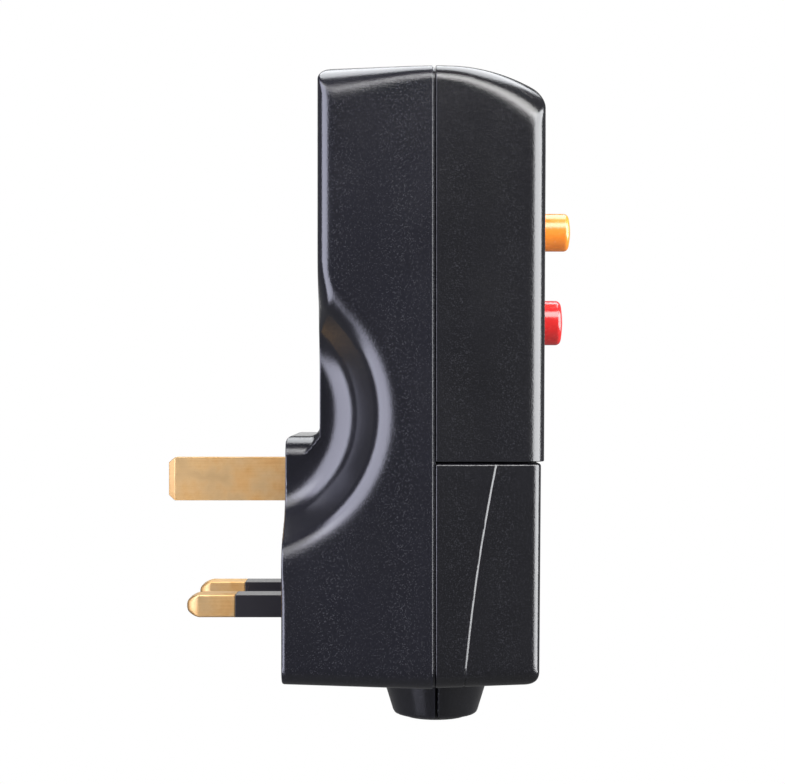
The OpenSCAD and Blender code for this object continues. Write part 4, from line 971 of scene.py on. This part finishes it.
def spark_grain_group():
    """Sandy skin of a spark-eroded mould: height, a mask of specks for painted glints, and clouds of shade.
    """
    inputs = {"Pitch": 4000.0, "Coarse": 0.4, "Skin": 1.0}
    tree, given, out = new_group("spark_grain", inputs, ("Height", "Facets", "Clouds"))
    place = object_place(tree)
    pitch = given.outputs["Pitch"]
    skin = given.outputs["Skin"]
    fine = noise(tree, place, pitch, rough=0.6)
    broad = noise(tree, place, maths(tree, "MULTIPLY", pitch, 0.45), detail=1.0)
    lumps = maths(tree, "MULTIPLY", broad, given.outputs["Coarse"])
    height = maths(tree, "MULTIPLY", maths(tree, "ADD", fine, lumps), skin)
    clouds = noise(tree, place, 90.0, detail=3.0, rough=0.55)
    # Painted glints: a mask of specks where the colour is lifted to stand in for the grain sparkling under
    # the lamps.
    glint_specks = noise(tree, place, maths(tree, "MULTIPLY", pitch, 1.2), detail=0.0)
    painted_glints = maths(tree, "MULTIPLY", stretch(tree, glint_specks, 0.62, 0.74), skin)
    put_out(tree, out, Height=height, Facets=painted_glints, Clouds=clouds)
    return tree


def edge_rub_group():
    """Mask of handled edges, broken up by fine noise."""
    tree, given, out = new_group("edge_rub", {"Amount": 1.0}, ("Rub",))
    edge = node(tree, "ShaderNodeAttribute", attribute_name="edge").outputs["Fac"]
    broken = noise(tree, object_place(tree), 420.0, detail=4.0, rough=0.65)
    reach = stretch(tree, maths(tree, "MULTIPLY", edge, broken), 0.12, 0.45)
    put_out(tree, out, Rub=maths(tree, "MULTIPLY", reach, given.outputs["Amount"]))
    return tree


def metal_marks_group():
    """Drawn streaks along X, blotches of tarnish and fine pits."""
    inputs = {"Along": 60.0, "Across": 3000.0}
    tree, given, out = new_group("metal_marks", inputs, ("Streaks", "Blotches", "Pits"))
    place = object_place(tree)
    along = given.outputs["Along"]
    across = given.outputs["Across"]
    scale = node(tree, "ShaderNodeCombineXYZ", [(0, along), (1, across), (2, across)])
    drawn = node(tree, "ShaderNodeVectorMath", [(0, place), (1, scale.outputs[0])], operation="MULTIPLY")
    streaks = noise(tree, drawn.outputs[0], 1.0)
    blotches = noise(tree, place, 230.0, detail=4.0, rough=0.6)
    pits = stretch(tree, noise(tree, place, 2600.0, detail=1.0), 0.7, 0.9, 0.0, 0.6)
    put_out(tree, out, Streaks=streaks, Blotches=blotches, Pits=pits)
    return tree


def handling_group():
    """Smears and light dust that change the gloss a little."""
    tree, given, out = new_group("handling", {"Size": 60.0}, ("Smears", "Dust"))
    place = object_place(tree)
    smears = noise(tree, place, given.outputs["Size"], detail=5.0, rough=0.6)
    dust = stretch(tree, noise(tree, place, 1900.0, detail=0.0), 0.72, 0.8)
    put_out(tree, out, Smears=smears, Dust=dust)
    return tree


GROUPS = {
    "spark_grain": spark_grain_group(),
    "edge_rub": edge_rub_group(),
    "metal_marks": metal_marks_group(),
    "handling": handling_group(),
}


def use_group(tree, name, **values):
    """Outputs of a shared group placed in a material, with its inputs set or joined."""
    links = [(key.capitalize(), value) for key, value in values.items()]
    return node(tree, "ShaderNodeGroup", links, node_tree=GROUPS[name]).outputs


# Finishes

FINISH = "_finish"
SMEARS = (0.3, 0.7)
RUBBED_LIFT = 1.8
DUST_COLOUR = (0.6, 0.58, 0.55, 1)


def new_material(slot, **constants):
    """Material with a Principled shader whose plain values are set on its own sockets."""
    material = bpy.data.materials.new(slot + FINISH)
    material.use_nodes = True
    shader = material.node_tree.nodes["Principled BSDF"]
    for key, value in constants.items():
        shader.inputs[key.replace("_", " ")].default_value = value
    return material, material.node_tree, shader


def rgba(colour, lift=1.0):
    return (colour[0] * lift, colour[1] * lift, colour[2] * lift, 1.0)


def bumped(tree, shader, height, distance, strength=1.0):
    bump = node(tree, "ShaderNodeBump", [("Strength", strength), ("Distance", distance), ("Height", height)])
    tree.links.new(bump.outputs[0], shader.inputs["Normal"])


def grained_colour(tree, colour, grain, rub, spread, facet):
    """Plastic colour with clouds of shade, painted glints as bright specks, and rubbed edges."""
    shade = mix_colour(tree, grain["Clouds"], rgba(colour, 1 - spread), rgba(colour, 1 + spread))
    sparkle = mix_colour(tree, grain["Facets"], shade, facet)
    return mix_colour(tree, rub, sparkle, rgba(colour, RUBBED_LIFT))


def moulded(slot, colour, roughness, pitch=4000.0, depth=0.00002, rub=0.5, spread=0.25, glint_lift=1.5):
    """Moulded plastic: grain, clouds of shade, painted glints as bright specks, rubbed edges and smears."""
    material, tree, shader = new_material(slot, IOR=1.5)
    grain = use_group(tree, "spark_grain", pitch=pitch)
    rubbed = use_group(tree, "edge_rub", amount=rub)["Rub"]
    smears = use_group(tree, "handling")["Smears"]
    skin_colour = grained_colour(tree, colour, grain, rubbed, spread, rgba(colour, glint_lift))
    tree.links.new(skin_colour, shader.inputs["Base Color"])
    gloss = stretch(tree, smears, *SMEARS, roughness - 0.05, roughness + 0.06)
    polish = maths(tree, "MULTIPLY", rubbed, 0.08)
    tree.links.new(maths(tree, "SUBTRACT", gloss, polish), shader.inputs["Roughness"])
    bumped(tree, shader, grain["Height"], depth)
    return material


def case_black(slot, colour, roughness, pitch, depth, glint_lift):
    """Glossy black case plastic, sandy on its flats and smooth in the rolls and scoops."""
    material, tree, shader = new_material(slot, IOR=1.7)
    skin = node(tree, "ShaderNodeAttribute", attribute_name="skin").outputs["Fac"]
    grain = use_group(tree, "spark_grain", pitch=pitch, skin=skin)
    rubbed = use_group(tree, "edge_rub", amount=0.4)["Rub"]
    smears = use_group(tree, "handling")["Smears"]
    # Painted glints: a brighter, slightly blue colour painted into the specks, standing in for the grain
    # sparkling under the lamps.
    facet = rgba((colour[0], colour[0], colour[0] * 1.2), glint_lift)
    skin_colour = grained_colour(tree, colour, grain, rubbed, 0.25, facet)
    tree.links.new(skin_colour, shader.inputs["Base Color"])
    gloss = stretch(tree, smears, *SMEARS, roughness - 0.03, roughness + 0.04)
    sandy = maths(tree, "MULTIPLY", skin, 0.07)
    tree.links.new(maths(tree, "ADD", gloss, sandy), shader.inputs["Roughness"])
    bumped(tree, shader, grain["Height"], depth)
    return material


def metal(slot, colour, roughness, along=60.0, across=3000.0, stain=0.35, stain_hue=(1.0, 0.85, 0.6),
          shaded_ends=0.0):
    """Bare metal: streaks of drawing, blotches of tarnish and pits, and painted shade that darkens the ends
    that face behind.
    """
    material, tree, shader = new_material(slot, Metallic=1.0)
    marks = use_group(tree, "metal_marks", along=along, across=across)
    tarnished = tuple(c * (1 - stain) * h for c, h in zip(colour, stain_hue))
    patch = stretch(tree, marks["Blotches"], 0.42, 0.68)
    base = mix_colour(tree, patch, rgba(colour), rgba(tarnished))
    lines_drawn = stretch(tree, marks["Streaks"], 0.35, 0.65, 0.0, 0.3)
    lined = mix_colour(tree, lines_drawn, base, rgba(colour, 1.12))
    pitted = mix_colour(tree, marks["Pits"], lined, rgba(tarnished, 0.7))
    normal = tree.nodes.new("ShaderNodeTexCoord").outputs["Normal"]
    facing = node(tree, "ShaderNodeSeparateXYZ", [("Vector", normal)])
    # Painted shade: faces whose normal points backwards, along -X, are mixed towards a darker tone.
    end = stretch(tree, facing.outputs["X"], -0.25, -0.75, 0.0, shaded_ends)
    tree.links.new(mix_colour(tree, end, pitted, rgba(tarnished, 0.4)), shader.inputs["Base Color"])
    dull = stretch(tree, marks["Blotches"], 0.35, 0.7, roughness - 0.06, roughness + 0.1)
    tree.links.new(dull, shader.inputs["Roughness"])
    bumped(tree, shader, marks["Streaks"], 0.000004)
    return material


def polished(slot, colour, roughness, deep=None, ior=1.5):
    """Glossy moulding with faint swirls and a little dust."""
    material, tree, shader = new_material(slot, IOR=ior)
    marks = use_group(tree, "handling", size=350.0)
    rubbed = use_group(tree, "edge_rub", amount=0.3)["Rub"]
    deep = deep or tuple(c * 0.8 for c in colour)
    shade = mix_colour(tree, stretch(tree, marks["Smears"], *SMEARS), rgba(deep), rgba(colour))
    dusty = mix_colour(tree, maths(tree, "MULTIPLY", marks["Dust"], 0.05), shade, DUST_COLOUR)
    worn = mix_colour(tree, rubbed, dusty, rgba(colour, 1.15))
    tree.links.new(worn, shader.inputs["Base Color"])
    gloss = stretch(tree, marks["Smears"], *SMEARS, roughness - 0.04, roughness + 0.08)
    tree.links.new(gloss, shader.inputs["Roughness"])
    bumped(tree, shader, marks["Smears"], 0.00002, 0.5)
    return material


def plastics():
    pale = {"pitch": 3000.0, "depth": 0.00001, "rub": 0.2}
    wire = {"pitch": 1500.0, "depth": 0.000008}
    case = {"pitch": 4600.0}
    return [
        # Lit and shaded copies of one black plastic: the rear half's copy has a base colour painted lighter
        # and bluer as painted light, the front half's and cover's copy darker as painted shade.
        case_black("black_case", (0.004, 0.0041, 0.0072), 0.14, depth=0.00004, glint_lift=6.0, **case),
        case_black("black_front", (0.0034, 0.0034, 0.0048), 0.14, depth=0.000035, glint_lift=5.0, **case),
        moulded("bush_rubber", (0.012, 0.012, 0.012), 0.6, pitch=2500.0, rub=0.2),
        moulded("sleeve_black", (0.02, 0.019, 0.022), 0.25, pitch=3000.0, depth=0.000008, rub=0.3,
                spread=0.15, glint_lift=1.0),
        moulded("insulator", (0.66, 0.63, 0.54), 0.45, spread=0.06, glint_lift=1.1, **pale),
        moulded("bobbin", (0.66, 0.6, 0.4), 0.45, spread=0.08, glint_lift=1.1, **pale),
        moulded("fuse_body", (0.74, 0.71, 0.62), 0.55, pitch=2200.0, depth=0.000012, rub=0.1, spread=0.06,
                glint_lift=1.05),
        moulded("carrier", (0.07, 0.07, 0.075), 0.4, pitch=3500.0, depth=0.000012),
        moulded("ferrite", (0.045, 0.045, 0.05), 0.55, pitch=1500.0, depth=0.00003),
        moulded("board_green", (0.025, 0.15, 0.045), 0.35, pitch=900.0, depth=0.000008, rub=0.3, spread=0.2,
                glint_lift=1.4),
        moulded("chip_black", (0.02, 0.02, 0.02), 0.5, pitch=3800.0, depth=0.000012),
        moulded("resistor_tan", (0.52, 0.4, 0.25), 0.4, pitch=2500.0, depth=0.00001),
        moulded("wire_brown", (0.15, 0.055, 0.02), 0.42, **wire),
        moulded("wire_blue", (0.03, 0.09, 0.33), 0.42, **wire),
        polished("copper_wire", (0.52, 0.19, 0.06), 0.3),
        polished("reset_red", (0.56, 0.02, 0.02), 0.18, deep=(0.46, 0.014, 0.014), ior=1.7),
        polished("test_orange", (0.76, 0.24, 0.025), 0.2, deep=(0.66, 0.18, 0.018), ior=1.75),
        polished("capacitor_blue", (0.03, 0.05, 0.19), 0.25),
        polished("film_yellow", (0.62, 0.4, 0.05), 0.22),
        polished("varistor_blue", (0.05, 0.13, 0.36), 0.22),
    ]


def metals():
    rolled = {"along": 900.0, "across": 900.0}
    return [
        # The pins' ends that face behind get painted shade.
        metal("pin_brass", (0.75, 0.51, 0.245), 0.56, stain=0.16, shaded_ends=0.85),
        metal("screw_steel", (0.6, 0.6, 0.62), 0.3, along=1500.0, across=1500.0, stain_hue=(1.0, 1.0, 0.95)),
        metal("strip_copper", (0.72, 0.42, 0.22), 0.34, along=400.0, across=400.0),
        metal("terminal_brass", (0.66, 0.46, 0.2), 0.3, along=500.0, across=2500.0),
        metal("fuse_cap", (0.62, 0.61, 0.57), 0.25, stain_hue=(1.0, 0.98, 0.9), **rolled),
        metal("contact_silver", (0.8, 0.8, 0.77), 0.28, stain_hue=(0.95, 0.9, 0.8), **rolled),
        metal("magnet_iron", (0.42, 0.42, 0.43), 0.4, along=300.0, across=900.0, stain_hue=(1.0, 0.95, 0.9)),
        metal("spring_steel", (0.55, 0.55, 0.57), 0.25, stain_hue=(0.95, 0.95, 1.0), **rolled),
        metal("spring_brass", (0.66, 0.46, 0.18), 0.28, along=200.0, across=2200.0),
    ]


MATERIALS = {material.name.removesuffix(FINISH): material for material in plastics() + metals()}

NODE_SLOTS = {
    # The rear half gets the black painted lighter and bluer, the front half and cover the black painted
    # darker.
    "black_case": ["rear_housing"],
    "black_front": ["front_housing", "wiring_cover"],
    "bush_rubber": ["cable_bush"],
    "pin_brass": ["earth_pin", "live_pin", "neutral_pin"],
    "sleeve_black": ["live_pin_sleeve", "neutral_pin_sleeve"],
    "insulator": ["pin_retainer", "cord_grip", "contact_block"],
    "screw_steel": ["upper_case_screws", "lower_case_screws", "cover_screw", "cord_grip_screws",
                    "terminal_screws"],
    "strip_copper": ["live_pin_link", "live_feed_link", "neutral_feed_link", "live_output_contact",
                     "neutral_output_contact", "contact_bridges"],
    "terminal_brass": ["live_terminal", "neutral_terminal"],
    "fuse_body": ["fuse_tube"],
    "fuse_cap": ["fuse_caps"],
    "contact_silver": ["fixed_contact_tips", "bridge_contact_tips"],
    "magnet_iron": ["magnet_yoke", "armature"],
    "copper_wire": ["coil_winding", "sense_winding"],
    "bobbin": ["coil_bobbin"],
    "carrier": ["contact_carrier"],
    "spring_steel": ["opening_springs"],
    "reset_red": ["reset_button"],
    "test_orange": ["test_button"],
    "spring_brass": ["test_leaf", "test_post"],
    "ferrite": ["sense_core"],
    "board_green": ["circuit_board"],
    "chip_black": ["control_chip", "thyristor", "diodes"],
    "capacitor_blue": ["smoothing_capacitor"],
    "film_yellow": ["film_capacitor"],
    "varistor_blue": ["surge_varistor"],
    "resistor_tan": ["resistors"],
    "wire_brown": ["live_output_wire"],
    "wire_blue": ["neutral_output_wire"],
}
SLOT_OF = {name: slot for slot, names in NODE_SLOTS.items() for name in names}
BODY_OF = {name: body for body, names in frame["record"]["behaviour"]["bodies"].items() for name in names}

# Width of the broken edges on pieces inside the case
EASED_EDGES = {
    0.25: ["pin_retainer", "cord_grip", "contact_block", "live_terminal", "neutral_terminal",
           "film_capacitor"],
    0.15: ["upper_case_screws", "lower_case_screws", "cover_screw", "cord_grip_screws", "terminal_screws",
           "fuse_tube", "fuse_caps", "magnet_yoke", "sense_core", "circuit_board", "control_chip"],
    0.1: ["live_pin_link", "live_feed_link", "neutral_feed_link", "live_output_contact",
          "neutral_output_contact"],
}


def finish_as(piece, node_name):
    """Gives a piece its finish and lets it stand for its CAD node."""
    slot = SLOT_OF[node_name]
    piece.data.materials.clear()
    piece.data.materials.append(MATERIALS[slot])
    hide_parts(node_name)


def dress(piece, node_name):
    """Finishes a piece and lets it move with its node's body."""
    finish_as(piece, node_name)
    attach(piece, BODY_OF[node_name])


def fit_springs():
    """Cuts the leaf into short lengths and gives it its finish, and gives the opening springs a mesh copy
    that moves with their node's body.
    """
    leaf = test_leaf_spring()
    finish_as(leaf, "test_leaf")
    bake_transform(leaf)
    coils = opening_spring_coils()
    dress(coils, "opening_springs")
    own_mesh(coils)


def paint_cad_nodes():
    for name, obj in nodes.items():
        material = MATERIALS[SLOT_OF[name]]
        if not obj.material_slots:
            obj.data.materials.append(material)
        for place in obj.material_slots:
            place.material = material


# Stage, light and camera

FLOOR_Z = -0.32
FLOOR_FRONT_Y = -0.285
FLOOR_REACH = 1.25
FLOOR_GLOW = 0.93
FLOOR_SHADE = 0.3
FLOOR_REFLECTION = 0.2
AIR_LIGHT = 0.22
AIR_REFLECTION = 0.15
WHITE = (1, 1, 1, 1)
CAMERA_PLACE = (0.019, -0.336, 0.0384)
CAMERA_LENS = 82.3
CAMERA_SENSOR = 36.0
CAMERA_NEAR = 0.01

# Soft panels: the point that each lights, its azimuth and elevation from there, its width and height, all in
# degrees, its radiance and its colour. The azimuth is 0 on the camera's side and 90 on the right.
PANEL_DISTANCE = 0.51
LIT_MIDDLE = (0.02, -0.03, 0.045)
LIT_TOP = (0.02, -0.03, 0.09)
PANELS = {
    "left_softbox": (LIT_MIDDLE, -69, 9, (50, 74), 5.2, (0.8, 0.81, 1.0)),
    "left_low_card": (LIT_MIDDLE, -49, -43, (20, 20), 1.6, (0.8, 0.81, 1.0)),
    "right_softbox": (LIT_MIDDLE, 71, 9, (60, 60), 8.0, (0.97, 0.98, 1.0)),
    "front_top_softbox": (LIT_TOP, 31, 43, (50, 30), 7.6, (1.0, 0.99, 0.98)),
    "front_top_left_softbox": (LIT_TOP, -30, 46, (58, 28), 2.6, (0.97, 0.97, 1.0)),
    "overhead_softbox": (LIT_TOP, 173, 65, (50, 46), 5.4, (0.95, 0.97, 1.0)),
    "backdrop_card": (LIT_MIDDLE, 180, 9, (40, 20), 0.8, (1.0, 1.0, 1.0)),
}


def seen_directly(tree, in_reflections, level=1.0):
    """The level for what the camera sees straight or through glass, less in gloss, nought for other light."""
    path = tree.nodes.new("ShaderNodeLightPath")
    straight = maths(tree, "MAXIMUM", path.outputs["Is Camera Ray"], path.outputs["Is Transmission Ray"])
    mirrored_light = maths(tree, "MULTIPLY", path.outputs["Is Glossy Ray"], in_reflections)
    return maths(tree, "MAXIMUM", maths(tree, "MULTIPLY", straight, level), mirrored_light)


def floor_white():
    """Floor finish that is pale to the camera, dimmer in reflections, and keeps a soft shadow."""
    material = bpy.data.materials.new("floor_white")
    material.use_nodes = True
    tree = material.node_tree
    tree.nodes.clear()
    strength = seen_directly(tree, FLOOR_REFLECTION, FLOOR_GLOW)
    glow = node(tree, "ShaderNodeEmission", [("Color", WHITE), ("Strength", strength)])
    in_gloss = tree.nodes.new("ShaderNodeLightPath").outputs["Is Glossy Ray"]
    shade = maths(tree, "MULTIPLY", maths(tree, "SUBTRACT", 1.0, in_gloss), FLOOR_SHADE)
    pale = node(tree, "ShaderNodeBsdfDiffuse", [("Color", shade)])
    both = node(tree, "ShaderNodeAddShader", [(0, pale.outputs[0]), (1, glow.outputs[0])])
    node(tree, "ShaderNodeOutputMaterial", [("Surface", both.outputs[0])])
    return material


def studio_floor():
    """Wide floor below the part, open towards the camera."""
    mesh = bpy.data.meshes.new("studio_floor")
    corners = [(-FLOOR_REACH, FLOOR_FRONT_Y, FLOOR_Z), (FLOOR_REACH, FLOOR_FRONT_Y, FLOOR_Z),
               (FLOOR_REACH, FLOOR_REACH, FLOOR_Z), (-FLOOR_REACH, FLOOR_REACH, FLOOR_Z)]
    mesh.from_pydata(corners, [], [(0, 1, 2, 3)])
    mesh.materials.append(floor_white())
    stage = add_object("studio_floor", mesh)


def softbox(name, aim, azimuth, elevation, spread, radiance, colour):
    """Soft panel of even brightness, unseen by the camera, on a bearing from the point that it lights."""
    turn = math.radians(azimuth)
    rise = math.radians(elevation)
    bearing = Vector((math.sin(turn) * math.cos(rise), -math.cos(turn) * math.cos(rise), math.sin(rise)))
    width, height = (2 * PANEL_DISTANCE * math.tan(math.radians(angle / 2)) for angle in spread)
    light = bpy.data.lights.new(name, "AREA")
    light.shape = "RECTANGLE"
    light.size = width
    light.size_y = height
    light.energy = radiance * math.pi * width * height
    light.color = colour
    lamp = add_object(name, light)
    lamp.location = Vector(aim) + bearing * PANEL_DISTANCE
    lamp.rotation_euler = (-bearing).to_track_quat("-Z", "Y").to_euler()
    lamp.visible_camera = False


def studio_air():
    """World that is white to the camera, dimmer in reflections, and lights the part softly."""
    world = bpy.data.worlds.new("studio_air")
    world.use_nodes = True
    tree = world.node_tree
    air = tree.nodes["Background"]
    air.inputs["Color"].default_value = WHITE
    seen = seen_directly(tree, AIR_REFLECTION)
    path = tree.nodes.new("ShaderNodeLightPath")
    scattered = maths(tree, "MULTIPLY", path.outputs["Is Diffuse Ray"], AIR_LIGHT)
    tree.links.new(maths(tree, "MAXIMUM", seen, scattered), air.inputs["Strength"])
    bpy.context.scene.world = world


def light_studio():
    for name, settings in PANELS.items():
        softbox(name, *settings)
    studio_air()


def set_camera():
    data = bpy.data.cameras.new("photo_camera")
    data.lens = CAMERA_LENS
    data.sensor_width = CAMERA_SENSOR
    data.sensor_fit = "HORIZONTAL"
    data.clip_start = CAMERA_NEAR
    camera = add_object("photo_camera", data)
    camera.location = CAMERA_PLACE
    camera.rotation_euler = (math.pi / 2, 0, 0)
    bpy.context.scene.camera = camera


set_camera()
light_studio()
studio_floor()
paint_cad_nodes()

dress(rear_housing(), "rear_housing")
dress(front_housing(), "front_housing")
dress(wiring_cover(), "wiring_cover")
dress(cable_bush(), "cable_bush")
dress(push_button("reset_push", RESET_Z, RESET_R, RESET_TIP_X, RESET_STEM_X), "reset_button")
dress(push_button("test_push", TEST_Z, TEST_R, TEST_TIP_X, TEST_STEM_X), "test_button")
for pin in ("earth_pin", "live_pin", "neutral_pin"):
    bevelled = softened(pin, pin + "_bevelled", PIN_EDGE, segments=3, sharp=20,
                        nose_x=PIN_NOSE_X, nose_r=PIN_NOSE_R)
    dress(bevelled, pin)
for sleeve in ("live_pin_sleeve", "neutral_pin_sleeve"):
    dress(softened(sleeve, sleeve + "_moulded", SLEEVE_EDGE), sleeve)
for edge_width, names in EASED_EDGES.items():
    for name in names:
        dress(softened(name, name + "_eased", edge_width), name)
fit_springs()

bpy.context.scene.view_settings.view_transform = "Standard"
